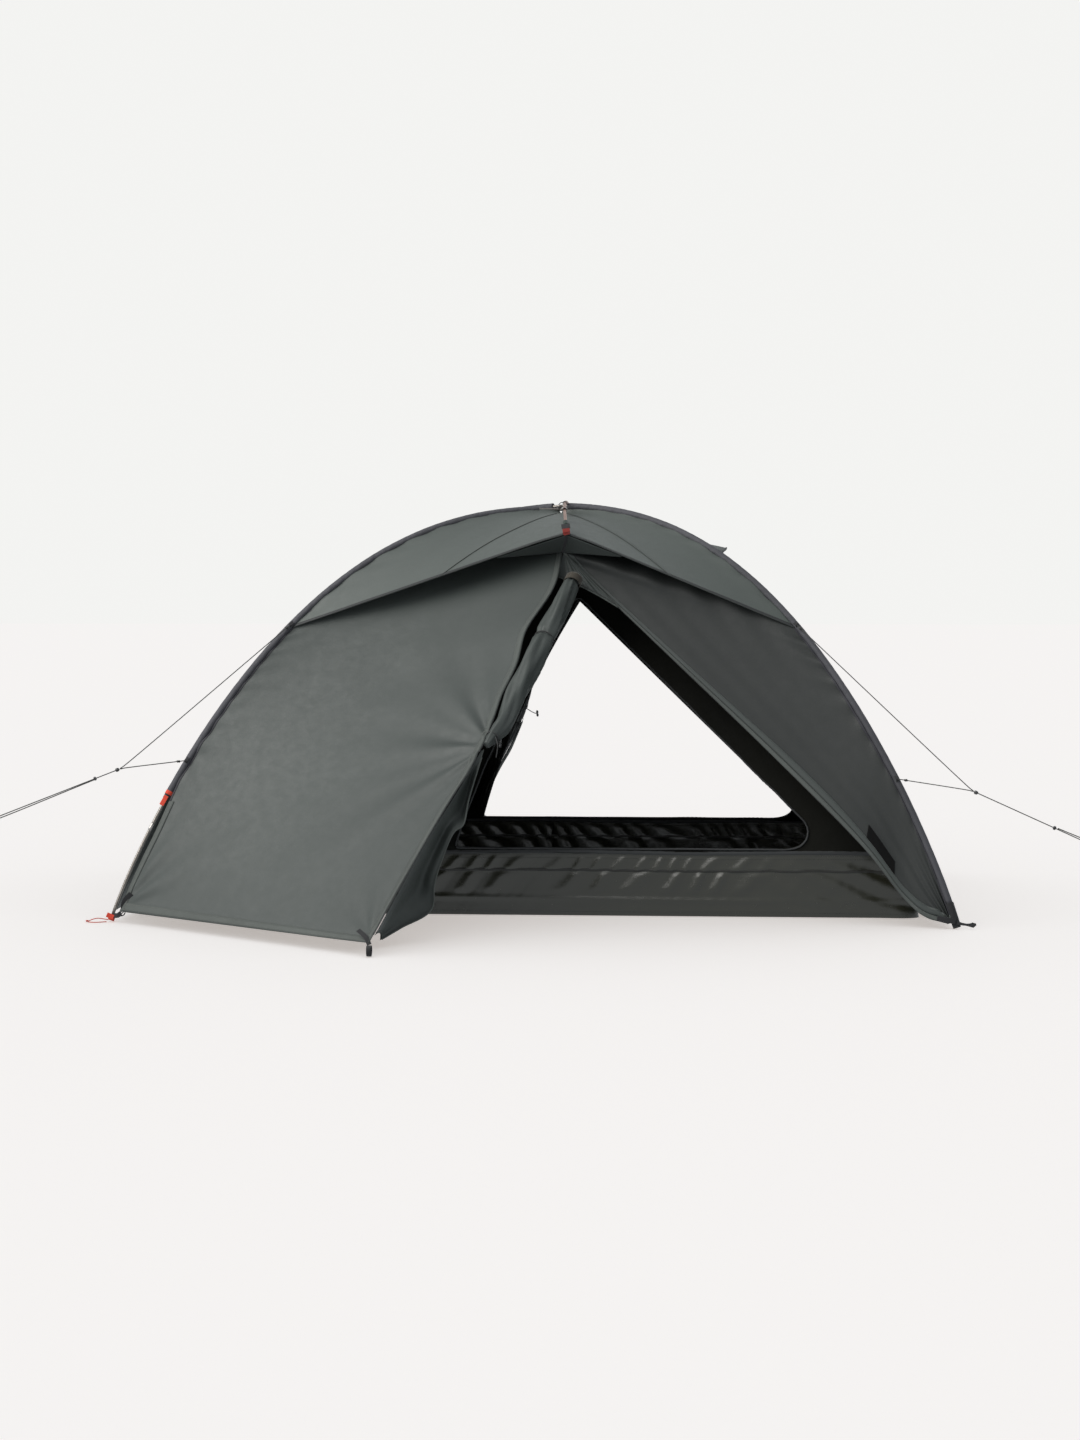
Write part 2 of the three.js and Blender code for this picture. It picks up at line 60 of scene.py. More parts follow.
JUNCTION = (0.069, -0.300, 1.002)
UNDER_BROW = (0.070, -0.215, 1.062)
DOOR_EDGE = [(0.052, -0.292, 0.982), (-0.038, -0.545, 0.735), (-0.112, -0.790, 0.489),
             (-0.240, -1.018, 0.255), (-0.352, -1.222, 0.032)]
ZIP_TOP, ZIP_FOOT = (0.098, -0.300, 0.966), (1.078, -0.640, 0.040)
END_HEM, END_SHARE = 1.128, 0.84
VENT_W, VENT_H, VENT_BASE, VENT_AT = 0.240, 0.064, 0.930, 0.34
VENT_REACH, VENT_DROP = 0.150, 0.024
TUB_L, TUB_W, TUB_H, TUB_CORNER = 2.064, 0.920, 0.174, 0.060
INNER_SHARE, INNER_DROP = (0.95, 0.75), 0.052
INNER_START, INNER_END, INNER_END_SHARE = 0.09, 0.935, 0.6
INNER_TOP = (0.050, -0.042, 1.050)
DOOR_PEAK, DOOR_LEFT, DOOR_RIGHT, DOOR_CORNER = (0.104, 0.866), (-0.215, 0.188), (0.742, 0.188), 0.070
CORD_D = 0.0026
MAIN = "tent"


def vec(*p):
    return np.array(p[0] if len(p) == 1 else p, float)


def unit(a):
    return a / np.maximum(np.linalg.norm(a, axis=-1, keepdims=True), 1e-12)


def mix(a, b, t):
    return a + (b - a) * t


def ease(x, low, high):
    t = np.clip((np.asarray(x, float) - low) / np.subtract(high, low), 0, 1)
    return t * t * (3 - 2 * t)


def bump_at(x, centre, half):
    """1 at the centre, 0 from half away on."""
    return 1 - ease(np.abs(np.asarray(x, float) - centre), 0, half)


def dots(a, b):
    return np.sum(a * b, axis=-1, keepdims=True)


def ripple(x, y, seed):
    """Smooth noise of about -1 to 1 over two coordinates, from a fixed sum of waves."""
    total = np.zeros(np.broadcast(x, y).shape)
    for k in range(6):
        a = 2.399 * (k + 1) + 1.7 * seed
        f = 1 + 0.62 * k
        angle = f * (x * math.cos(a) + y * math.sin(a)) + 1.9 * seed * (k + 1)
        total = total + np.sin(angle) / (1 + 0.45 * k)
    return total / 3.1


# ---- Curves ---------------------------------------------------------------------------------------
def arch(side, end, r, lift=0.0):
    """A point of a half pole: side and end are -1 or 1, r is 0 at the peak and 1 at the foot."""
    r = np.asarray(r, float)
    z = PEAK_Z * np.maximum(1 - r ** WIDTH_POWER, 0) ** (1 / HEIGHT_POWER) + lift * (1 - r) ** 6
    return np.stack([PEAK_X + (side * FOOT_X - PEAK_X) * r, end * FOOT_Y * r, z], -1)


def lift_of(side, end):
    return 0.0 if side * end > 0 else CROSSING_LIFT


def curve(points):
    """A centripetal spline through the points, as a function of 0 to 1."""
    p = vec(points)
    e = np.vstack([2 * p[0] - p[1], p, 2 * p[-1] - p[-2]])
    n = len(p) - 1

    def at(t):
        s = np.asarray(t, float) * n
        i = np.clip(np.floor(s).astype(int), 0, n - 1)
        w = (s - i)[..., None]
        p0, p1, p2, p3 = e[i], e[i + 1], e[i + 2], e[i + 3]
        gaps = (p1 - p0, p2 - p1, p3 - p2)
        d0, d1, d2 = (np.sqrt(np.linalg.norm(gap, axis=-1, keepdims=True)) for gap in gaps)
        t1 = ((p1 - p0) / d0 - (p2 - p0) / (d0 + d1) + (p2 - p1) / d1) * d1
        t2 = ((p2 - p1) / d1 - (p3 - p1) / (d1 + d2) + (p3 - p2) / d2) * d1
        return p1 + w * (t1 + w * ((-3 * p1 + 3 * p2 - 2 * t1 - t2) + w * (2 * p1 - 2 * p2 + t1 + t2)))
    return at


def circle(centre, a, b, radius, count):
    """Points of a closed circle round a centre, from direction a by way of b."""
    q = np.linspace(0, 2 * math.pi, count)[:, None]
    return centre + a * (radius * np.cos(q)) + b * (radius * np.sin(q))


def segment(a, b):
    return lambda t: mix(vec(a), vec(b), np.asarray(t, float)[..., None])


def run_of(p):
    """The distance run along a line of points, at each of them."""
    return np.concatenate([[0], np.cumsum(np.linalg.norm(np.diff(p, axis=0), axis=1))])


def polyline(points):
    """Straight pieces through the points, at even speed."""
    p = vec(points)
    d = run_of(p)

    def at(t):
        s = np.asarray(t, float) * d[-1]
        return np.stack([np.interp(s, d, p[:, k]) for k in range(3)], -1)
    return at


def length(points):
    return float(np.linalg.norm(np.diff(points, axis=0), axis=1).sum())


def clear_of(edge, target, gap):
    """Moves an edge curve off its pole, square to the pole and towards the target curve."""
    def at(v):
        v = np.asarray(v, float)
        along = unit(edge(np.minimum(v + 1e-3, 1)) - edge(np.maximum(v - 1e-3, 0)))
        way = target(v) - edge(v)
        way = unit(way - dots(way, along) * along)
        return edge(v) + way * (gap(v) if callable(gap) else np.full(v.shape, gap))[..., None]
    return at


def between(left, right, middle=None):
    """A surface of (u, v) from one edge curve to another, pulled to a middle curve."""
    def at(u, v):
        a, b = left(v), right(v)
        u = np.asarray(u, float)[..., None]
        p = mix(a, b, u)
        return p if middle is None else p + (middle(v) - (a + b) / 2) * 4 * u * (1 - u)
    return at


def normals(surface, u, v):
    h = 1e-3
    du = surface(np.minimum(u + h, 1), v) - surface(np.maximum(u - h, 0), v)
    dv = surface(u, np.minimum(v + h, 1)) - surface(u, np.maximum(v - h, 0))
    return unit(np.cross(du, dv))


def outward(surface):
    """1 if the surface's own normal points away from the tent's middle, or -1."""
    m = np.array(0.5)
    return 1.0 if float(dots(normals(surface, m, m), surface(m, m) - vec(0.05, 0, 0.35))[0]) > 0 else -1.0


def shaped(surface, height):
    """The surface moved out of itself by height(u, v), in metres."""
    sign = outward(surface)
    return lambda u, v: surface(u, v) + normals(surface, u, v) * (sign * height(u, v))[..., None]


def rear(surface):
    """The mirror image at the rear of a surface or a curve."""
    return lambda *t: surface(*t) * vec(1, -1, 1)


ENDS = {"front": -1, "rear": 1}
SIDES = {"left": -1, "right": 1}
TURNED = (("front", lambda surface: surface, -1), ("rear", rear, 1))


# ---- Meshes ---------------------------------------------------------------------------------------
def cad_middle(node):
    """The middle of a CAD node's box."""
    low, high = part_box(node)
    return (vec(*low) + vec(*high)) / 2


def new_object(name, verts, faces, uvs, mat, body=MAIN):
    """A smooth mesh that rides on a body, with its material."""
    mesh = bpy.data.meshes.new(name)
    mesh.from_pydata([tuple(p) for p in verts], [], faces)
    layer = mesh.uv_layers.new(name="uv")
    index = np.zeros(len(mesh.loops), int)
    mesh.loops.foreach_get("vertex_index", index)
    layer.data.foreach_set("uv", np.asarray(uvs, float)[index].ravel())
    mesh.polygons.foreach_set("use_smooth", [True] * len(mesh.polygons))
    obj = bpy.data.objects.new(name, mesh)
    bpy.context.scene.collection.objects.link(obj)
    mesh.materials.append(mat)
    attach(obj, body)
    return obj


def grid_faces(nu, nv, wrap=False):
    wide = nu if wrap else nu + 1
    return [(j * wide + i, j * wide + (i + 1) % wide, (j + 1) * wide + (i + 1) % wide, (j + 1) * wide + i)
            for j in range(nv) for i in range(nu)]


def flat_uv(p):
    """Cloth coordinates in metres for a grid of points: along the rows from mid-row, and down."""
    nv, nu = p.shape[:2]
    mid = nu // 2
    step = np.linalg.norm(np.diff(p, axis=1), axis=2)
    s = np.concatenate([np.zeros((nv, 1)), np.cumsum(step, axis=1)], axis=1)
    s -= s[:, mid:mid + 1]
    t = run_of(p[:, mid])
    return np.stack([s, np.repeat(t[:, None], nu, 1)], -1)


def thicken(obj, amount, offset=0.0):
    mod = obj.modifiers.new("thickness", "SOLIDIFY")
    mod.thickness = amount
    mod.offset = offset
    return obj


def cloth(name, surface, nu, nv, mat, thick=0.0009, body=MAIN, us=None, vs=None, offset=0.0):
    """A sheet over surface(u, v), with its inside and outside."""
    u = np.linspace(0, 1, nu + 1) if us is None else np.asarray(us)
    v = np.linspace(0, 1, nv + 1) if vs is None else np.asarray(vs)
    uu, vv = np.meshgrid(u, v)
    p = surface(uu, vv)
    obj = new_object(name, p.reshape(-1, 3), grid_faces(len(u) - 1, len(v) - 1), flat_uv(p).reshape(-1, 2),
                     mat, body)
    obj["flat_area"] = float(sum(f.area for f in obj.data.polygons))
    return thicken(obj, thick, offset)


def frames(points):
    """Two directions square to a line of points, carried along it without twist."""
    p = np.asarray(points, float)
    tangent = unit(np.gradient(p, axis=0))
    side = np.zeros_like(p)
    start = vec(0, 0, 1) if abs(tangent[0][2]) < 0.9 else vec(1, 0, 0)
    side[0] = unit(start - (start @ tangent[0]) * tangent[0])
    for i in range(1, len(p)):
        side[i] = unit(side[i - 1] - (side[i - 1] @ tangent[i]) * tangent[i])
    return side, np.cross(tangent, side)


def tube(name, points, radius, mat, body=MAIN, sides=14, cap=True, axes=None, thick=0.0):
    """A tube along points. radius is a number, or a function of the share along and the angle."""
    p = np.asarray(points, float)
    a, b = (np.broadcast_to(k, p.shape) for k in axes) if axes is not None else frames(p)
    n = len(p)
    angle = np.linspace(0, 2 * math.pi, sides, endpoint=False)
    s = np.linspace(0, 1, n)
    ss, aa = np.meshgrid(s, angle, indexing="ij")
    r = radius(ss, aa) if callable(radius) else np.full(ss.shape, float(radius))
    rx, ry = r if isinstance(r, tuple) else (r, r)
    ring = p[:, None] + a[:, None] * (rx * np.cos(aa))[..., None]
    ring = ring + b[:, None] * (ry * np.sin(aa))[..., None]
    along = run_of(p)
    uv = np.stack([aa * float(np.mean(rx)), np.repeat(along[:, None], sides, 1)], -1).reshape(-1, 2)
    verts = ring.reshape(-1, 3)
    faces = grid_faces(sides, n - 1, wrap=True)
    if cap:
        faces = faces + [tuple(range(sides))[::-1], tuple(range((n - 1) * sides, n * sides))]
    obj = new_object(name, verts, faces, uv, mat, body)
    return thicken(obj, thick) if thick else obj


def ribbon(name, points, across, width, mat, thick=0.0012, body=MAIN, rows=4):
    """A flat strap along points. Its breadth lies across: one fixed direction, or one for each point."""
    p = np.asarray(points, float)
    way = np.broadcast_to(vec(across), p.shape)
    w = np.broadcast_to(np.asarray(width, float), (len(p),))
    k = np.linspace(-0.5, 0.5, rows + 1)
    q = p[:, None] + way[:, None] * (w[:, None] * k[None])[..., None]
    uv = np.stack([w[:, None] * k[None] + 0.5 * w.mean(), np.repeat(run_of(p)[:, None], rows + 1, 1)], -1)
    obj = new_object(name, q.reshape(-1, 3), grid_faces(rows, len(p) - 1), uv.reshape(-1, 2), mat, body)
    return thicken(obj, thick)


def strap(name, points, width, mat, face, thick=0.0014, body=MAIN):
    """A flat woven strap with soft edges. face is the direction that its broad side looks."""
    p = np.asarray(points, float)
    across = unit(np.cross(unit(np.gradient(p, axis=0)), np.broadcast_to(vec(face), p.shape)))
    obj = ribbon(name, p, across, width, mat, thick, body)
    edge = obj.modifiers.new("edge", "BEVEL")
    edge.width = thick * 0.3
    edge.segments = 2
    edge.limit_method = "ANGLE"
    return obj


def beads(name, lines, mat, pitch=0.0042, size=(0.0014, 0.00042), body=MAIN):
    """Sewing: small raised stitches along each line of points."""
    verts, faces = [], []
    for points in lines:
        p = np.asarray(points, float)
        total = length(p)
        at = polyline(p)
        count = max(2, int(total / pitch))
        share = (np.arange(count) + 0.5) / count
        centre = at(share)
        way = unit(at(np.minimum(share + 1e-3, 1)) - at(np.maximum(share - 1e-3, 0)))
        side = unit(np.cross(way, vec(0.3, 0.2, 0.93)))
        up = np.cross(side, way)
        for c, w, a, b in zip(centre, way, side, up):
            base = len(verts)
            verts.append(c - w * size[0])
            for k in (-0.55, 0.55):
                for q in range(4):
                    t = math.pi * (0.25 + q / 2)
                    verts.append(c + w * (k * size[0]) + (a * math.cos(t) + b * math.sin(t)) * size[1])
            verts.append(c + w * size[0])
            for q in range(4):
                r = (q + 1) % 4
                faces.append((base, base + 1 + q, base + 1 + r))
                faces.append((base + 1 + q, base + 5 + q, base + 5 + r, base + 1 + r))
                faces.append((base + 9, base + 5 + r, base + 5 + q))
    uv = [(0.0, 0.0)] * len(verts)
    return new_object(name, verts, faces, uv, mat, body)


def applied(obj):
    graph = bpy.context.evaluated_depsgraph_get()
    graph.update()
    mesh = bpy.data.meshes.new_from_object(obj.evaluated_get(graph))
    obj.modifiers.clear()
    obj.data = mesh
    return obj


def boolean(obj, outline, y_range, keep_inside, axis="Y"):
    """Cuts obj with a straight prism, given as (x, z) or (y, z) corners and its reach along the axis."""
    n = len(outline)
    low, high = y_range
    put = (lambda a, t, z: (a, t, z)) if axis == "Y" else (lambda a, t, z: (t, a, z))
    verts = [put(a, low, z) for a, z in outline] + [put(a, high, z) for a, z in outline]
    faces = [tuple(range(n)), tuple(range(2 * n - 1, n - 1, -1))]
    faces += [(i, i + n, (i + 1) % n + n, (i + 1) % n) for i in range(n)]
    mesh = bpy.data.meshes.new("cutter")
    mesh.from_pydata(verts, [], faces)
    work = bmesh.new()
    work.from_mesh(mesh)
    bmesh.ops.recalc_face_normals(work, faces=work.faces)
    work.to_mesh(mesh)
    work.free()
    tool = bpy.data.objects.new("cutter", mesh)
    bpy.context.scene.collection.objects.link(tool)
    mod = obj.modifiers.new("cut", "BOOLEAN")
    mod.operation = "INTERSECT" if keep_inside else "DIFFERENCE"
    mod.object = tool
    mod.solver = "EXACT"
    applied(obj)
    bpy.data.objects.remove(tool)
    obj.data.polygons.foreach_set("use_smooth", [True] * len(obj.data.polygons))
    return obj


def offset_line(surface, along, edge, inset, lift, count=80):
    """A line over the surface, inset metres from one of its edges and lift metres out of it."""
    t = np.linspace(0.002, 0.998, count) if along is None else np.asarray(along, float)
    share = np.clip(inset / length_of_rows(surface, t, edge[0] == "u"), 0, 1)
    share = share if edge[1] == "0" else 1 - share
    u, v = (share, t) if edge[0] == "u" else (t, share)
    return surface(u, v) + normals(surface, u, v) * (outward(surface) * lift)


def length_of_rows(surface, t, across):
    k = np.linspace(0, 1, 25)
    tt, kk = np.meshgrid(t, k, indexing="ij")
    p = surface(kk, tt) if across else surface(tt, kk)
    return np.linalg.norm(np.diff(p, axis=1), axis=2).sum(axis=1)


def band(name, surface, edge, inset, width, lift, mat, count=90, thick=0.0008, along=None, rows=3,
         wave=0.0):
    """A narrow strip sewn along an edge of the surface."""
    t = np.linspace(0, 1, count) if along is None else np.asarray(along, float)
    lines = [offset_line(surface, t, edge, max(inset + width * k / rows, 0.0), lift)
             for k in range(rows + 1)]
    p = np.stack(lines, 1)
    if wave:
        s = np.linspace(0, 1, len(t)) * length(p[:, 0])
        p[:, -1, 2] += wave * ripple(s * 90, s * 31, 3)
    uv = flat_uv(p).reshape(-1, 2)
    obj = new_object(name, p.reshape(-1, 3), grid_faces(rows, len(t) - 1), uv, mat)
    return thicken(obj, thick)


# ---- Materials ------------------------------------------------------------------------------------
class Net:
    """A procedural material: its nodes, made by short calls."""

    def __init__(self, name, base, rough, metal=0.0, spec=0.5, sheen=0.0, coat=0.0):
        self.mat = bpy.data.materials.new(name)
        self.mat.use_nodes = True
        self.tree = self.mat.node_tree
        self.shader = self.tree.nodes["Principled BSDF"]
        self.base = (*base, 1)
        self.put("Base Color", self.base)
        self.put("Roughness", rough)
        self.put("Metallic", metal)
        self.put("Specular IOR Level", spec)
        self.put("Sheen Weight", sheen)
        self.put("Sheen Roughness", 0.45)
        self.put("Coat Weight", coat)
        self.put("Coat Roughness", 0.25)
        self.coord = self.tree.nodes.new("ShaderNodeTexCoord")
        self.uv = self.coord.outputs["UV"]
        self.place = self.coord.outputs["Object"]

    def put(self, socket, value):
        self.feed(self.shader, {socket: value})

    def feed(self, node, values):
        for k, v in values.items():
            if hasattr(v, "is_output"):
                self.tree.links.new(v, node.inputs[k])
            elif v is not None:
                node.inputs[k].default_value = v

    def math(self, op, a, b=None, clamp=False):
        node = self.tree.nodes.new("ShaderNodeMath")
        node.operation = op
        node.use_clamp = clamp
        self.feed(node, {0: a, 1: b})
        return node.outputs[0]

    def noise(self, at, scale, detail=4.0, rough=0.55, distort=0.0):
        node = self.tree.nodes.new("ShaderNodeTexNoise")
        self.feed(node, {"Vector": at, "Scale": scale, "Detail": detail, "Roughness": rough,
                         "Distortion": distort})
        return node.outputs["Fac"]

    def cells(self, at, scale):
        node = self.tree.nodes.new("ShaderNodeTexVoronoi")
        self.feed(node, {"Vector": at, "Scale": scale})
        return node.outputs["Distance"]

    def stretch(self, at, scale):
        node = self.tree.nodes.new("ShaderNodeMapping")
        self.feed(node, {"Vector": at, "Scale": scale})
        return node.outputs[0]

    def xy(self, at):
        node = self.tree.nodes.new("ShaderNodeSeparateXYZ")
        self.tree.links.new(at, node.inputs[0])
        return node.outputs

    def blend(self, share, a, b):
        node = self.tree.nodes.new("ShaderNodeMix")
        node.data_type = "RGBA"
        self.feed(node, {"Factor": share, 6: a, 7: b})
        return node.outputs[2]

    def span(self, value, low, high, to_low=0.0, to_high=1.0):
        node = self.tree.nodes.new("ShaderNodeMapRange")
        self.feed(node, {0: value, 1: low, 2: high, 3: to_low, 4: to_high})
        return node.outputs[0]

    def bump(self, height, strength, distance, before=None):
        node = self.tree.nodes.new("ShaderNodeBump")
        self.feed(node, {"Strength": strength, "Distance": distance, "Height": height, "Normal": before})
        return node.outputs[0]

    def weave(self, pitch, twill=False):
        """Height of a plain or twill weave over the cloth coordinates."""
        x, y = self.xy(self.uv)[:2]
        k = 2 * math.pi / pitch
        a = self.math("SINE", self.math("MULTIPLY", x, k))
        b = self.math("SINE", self.math("MULTIPLY", self.math("ADD", y, x) if twill else y, k))
        return self.span(self.math("MULTIPLY", a, b), -1, 1)

    def lines(self, cell, half, axis):
        """1 on fine lines every cell metres, 0 elsewhere."""
        d = self.math("PINGPONG", self.xy(self.uv)[axis], cell / 2)
        return self.span(d, half, half * 0.4)


def shade(base, by):
    return tuple(min(1.0, max(0.0, c * by)) for c in base[:3]) + (1,)


def fabric(name, base, rough, pitch=0.0009, ripstop=0.0, wear=0.12, sheen=0.0, spec=0.4, weave_bump=0.25,
           crease=0.0, coat=0.0, twill=False):
    """Woven cloth: threads, ripstop squares, slow colour drift, fine creases and faint dust."""
    n = Net(name, base, rough, spec=spec, sheen=sheen, coat=coat)
    drift = n.noise(n.place, 2.2, 3.0)
    dust = n.noise(n.place, 38.0, 6.0, 0.7)
    tone = n.blend(n.span(drift, 0.3, 0.7), shade(base, 1 - wear), shade(base, 1 + wear))
    tone = n.blend(n.span(dust, 0.62, 0.85, 0.0, 0.3), tone, shade(base, 1.6))
    threads = n.weave(pitch, twill)
    tone = n.blend(n.span(threads, 0, 1, 0.0, 0.22), tone, shade(base, 0.55))
    height = threads
    if ripstop:
        net = n.math("MAXIMUM", n.lines(ripstop, 0.00035, 0), n.lines(ripstop, 0.00035, 1))
        tone = n.blend(n.math("MULTIPLY", net, 0.28), tone, shade(base, 1.35))
        height = n.math("ADD", threads, n.math("MULTIPLY", net, 1.4))
    n.put("Base Color", tone)
    n.put("Roughness", n.span(dust, 0.3, 0.7, max(rough - 0.07, 0.05), min(rough + 0.09, 1)))
    normal = n.bump(height, weave_bump, 0.0003)
    if crease:
        soft = n.noise(n.stretch(n.place, (1.0, 1.0, 0.6)), 9.0, 3.0, 0.5, 0.6)
        wrinkle = n.math("ADD", soft, n.math("MULTIPLY", n.noise(n.place, 31.0, 2.0), 0.3))
        normal = n.bump(wrinkle, crease, 0.012, normal)
    n.put("Normal", normal)
    return n.mat


def netting(name, base, pitch, open_share):
    """Fine mesh cloth: threads with real gaps between them."""
    n = Net(name, base, 0.7, spec=0.3)
    a = n.lines(pitch, pitch * open_share, 0)
    b = n.lines(pitch, pitch * open_share, 1)
    thread = n.math("MAXIMUM", a, b)
    tone = n.blend(n.noise(n.place, 12.0), shade(base, 0.8), shade(base, 1.25))
    n.put("Base Color", tone)
    n.put("Alpha", n.span(thread, 0, 1, 0.30, 1.0))
    n.put("Normal", n.bump(thread, 0.5, 0.0003))
    return n.mat


def webbing(name, base, pitch=0.0016):
    """Woven strap: ribs across, painted shade in the weave's low parts and painted light on its raised
    ribs, and frayed lighter threads.
    """
    n = Net(name, base, 0.75, spec=0.3, sheen=0.2)
    x, y = n.xy(n.uv)[:2]
    rib = n.math("SINE", n.math("MULTIPLY", y, 2 * math.pi / pitch))
    cross = n.math("SINE", n.math("MULTIPLY", x, 2 * math.pi / (pitch * 1.3)))
    height = n.span(n.math("MULTIPLY", rib, cross), -1, 1)
    fuzz = n.noise(n.place, 260.0, 3.0, 0.7)
    # Painted shade and light: the colour follows the weave's height, darker low and lighter high.
    tone = n.blend(height, shade(base, 0.6), shade(base, 1.2))
    tone = n.blend(n.span(fuzz, 0.6, 0.8, 0, 0.35), tone, shade(base, 1.7))
    n.put("Base Color", tone)
    n.put("Normal", n.bump(height, 0.55, 0.0005, n.bump(fuzz, 0.2, 0.0004)))
    return n.mat


def braid(name, base, fleck):
    """Braided cord: crossing strands and a fleck of another colour."""
    n = Net(name, base, 0.7, spec=0.35, sheen=0.2)
    wave = n.tree.nodes.new("ShaderNodeTexWave")
    n.feed(wave, {"Vector": n.stretch(n.place, (420.0, 420.0, 420.0)), "Scale": 1.0, "Distortion": 1.5})
    spots = n.cells(n.place, 520.0)
    # Painted shade and light: the strands' colour follows their bump, darker in the low parts and lighter
    # on top.
    tone = n.blend(wave.outputs["Fac"], shade(base, 0.55), shade(base, 1.35))
    tone = n.blend(n.span(spots, 0.14, 0.05), tone, (*fleck, 1))
    n.put("Base Color", tone)
    n.put("Normal", n.bump(wave.outputs["Fac"], 0.6, 0.0005))
    return n.mat


def anodised(name, base, rough=0.33):
    """Drawn and anodised tube: lines along it, finger wear and small scuffs."""
    n = Net(name, base, rough, metal=0.85, spec=0.5, coat=0.08)
    draw = n.noise(n.stretch(n.uv, (900.0, 14.0, 1.0)), 1.0, 4.0, 0.6)
    wear = n.noise(n.place, 24.0, 6.0, 0.65)
    scuff = n.noise(n.stretch(n.place, (90.0, 90.0, 260.0)), 1.0, 2.0)
    tone = n.blend(n.span(wear, 0.35, 0.7), shade(base, 0.82), shade(base, 1.18))
    tone = n.blend(n.span(scuff, 0.66, 0.74, 0, 0.55), tone, (0.62, 0.6, 0.58, 1))
    n.put("Base Color", tone)
    n.put("Roughness", n.span(draw, 0.3, 0.7, rough - 0.08, rough + 0.14))
    n.put("Normal", n.bump(draw, 0.12, 0.0003))
    return n.mat


def moulded(name, base, rough=0.5, grain=900.0):
    """Moulded plastic or rubber: fine grain, patchy dust and a soft sheen."""
    n = Net(name, base, rough, spec=0.45)
    fine = n.noise(n.place, grain, 3.0, 0.6)
    large = n.noise(n.place, 60.0, 5.0, 0.6)
    tone = n.blend(n.span(large, 0.35, 0.75), shade(base, 0.85), shade(base, 1.4))
    n.put("Base Color", tone)
    n.put("Roughness", n.span(large, 0.3, 0.7, rough - 0.1, rough + 0.12))
    n.put("Normal", n.bump(fine, 0.25, 0.0003, n.bump(large, 0.1, 0.001)))
    return n.mat


FLY = fabric("fly_cloth", (0.046, 0.054, 0.0505), 0.50, ripstop=0.0052, crease=0.035, sheen=0.04, wear=0.05)
# Painted light: the brow is the fly's own cloth, coloured lighter than the vestibule to stand in for the
# light that falls on it.
BROW_PAINTED_LIGHT = fabric("brow_cloth_painted_light", (0.071, 0.082, 0.076), 0.50, ripstop=0.0052, crease=0.04, sheen=0.04,
              wear=0.05)
FLY_END = fabric("fly_cloth_end", (0.058, 0.067, 0.063), 0.50, ripstop=0.0052, crease=0.05, sheen=0.04,
                 wear=0.06)
# Painted shade: the panels right of the doors are the fly's own cloth, coloured darker to stand in for the
# shade on them.
FLY_PAINTED_SHADE = fabric("fly_cloth_door_painted_shade", (0.021, 0.0235, 0.0225), 0.50, ripstop=0.0052, crease=0.05, wear=0.06)
FLY_TAPE = fabric("fly_hem_tape", (0.070, 0.079, 0.073), 0.62, pitch=0.0013, wear=0.2, weave_bump=0.5)
PIPING = fabric("dark_piping", (0.030, 0.032, 0.033), 0.6, pitch=0.0012, weave_bump=0.5)
SLEEVE = fabric("sleeve_weave", (0.060, 0.060, 0.068), 0.66, pitch=0.0015, wear=0.25, weave_bump=0.7,
                crease=0.25, twill=True)
SLEEVE_DARK = fabric("sleeve_seam_weave", (0.032, 0.031, 0.038), 0.68, pitch=0.0015, wear=0.25,
                     weave_bump=0.7)
TUB = fabric("tub_cloth", (0.022, 0.022, 0.014), 0.20, ripstop=0.0060, crease=0.12, wear=0.12, spec=0.7,
             coat=0.3)
TUB_IN = fabric("tub_inside", (0.015, 0.015, 0.012), 0.42, ripstop=0.0060, crease=0.4, wear=0.2, spec=0.5)
INNER = fabric("inner_cloth", (0.007, 0.007, 0.0055), 0.8, spec=0.1, pitch=0.0011, wear=0.3, crease=0.2)
MESH = netting("insect_mesh", (0.018, 0.018, 0.016), 0.0016, 0.24)
VENT_MESH = netting("vent_mesh", (0.014, 0.014, 0.014), 0.0018, 0.24)
RED_WEB = webbing("red_webbing_weave", (0.62, 0.060, 0.030))
RED_STRAP = webbing("dark_red_webbing_weave", (0.21, 0.022, 0.016))
BLACK_WEB = webbing("black_webbing_weave", (0.022, 0.022, 0.024))
GREY_WEB = webbing("brown_webbing_weave", (0.055, 0.047, 0.036))
PATCH = fabric("blank_patch_weave", (0.004, 0.004, 0.004), 0.75, spec=0.12, pitch=0.0007, weave_bump=0.6,
               twill=True)
CORD = braid("guy_cord_braid", (0.050, 0.050, 0.047), (0.11, 0.085, 0.07))
CORD_DARK = braid("black_cord_braid", (0.030, 0.030, 0.030), (0.16, 0.16, 0.16))
CORD_RED = braid("red_cord_braid", (0.58, 0.075, 0.045), (0.85, 0.45, 0.35))
THREAD = webbing("sewing_thread", (0.17, 0.175, 0.165), 0.0008)
THREAD_DARK = webbing("dark_thread", (0.035, 0.035, 0.035), 0.0008)
ZIP_TEETH = moulded("zip_teeth_nylon", (0.050, 0.050, 0.052), 0.42)
GREY_TUBE = anodised("grey_pole_anodised", (0.245, 0.225, 0.205))
FERRULE = anodised("ferrule_bright", (0.42, 0.40, 0.38), 0.25)
COPPER_TUBE = anodised("copper_pole_anodised", (0.42, 0.27, 0.215), 0.30)
RUBBER = moulded("cap_rubber_green", (0.022, 0.034, 0.028), 0.62)
PLASTIC = moulded("black_moulded_plastic", (0.020, 0.020, 0.021), 0.40)
GLOSS_PLASTIC = moulded("tensioner_plastic", (0.045, 0.045, 0.047), 0.3)
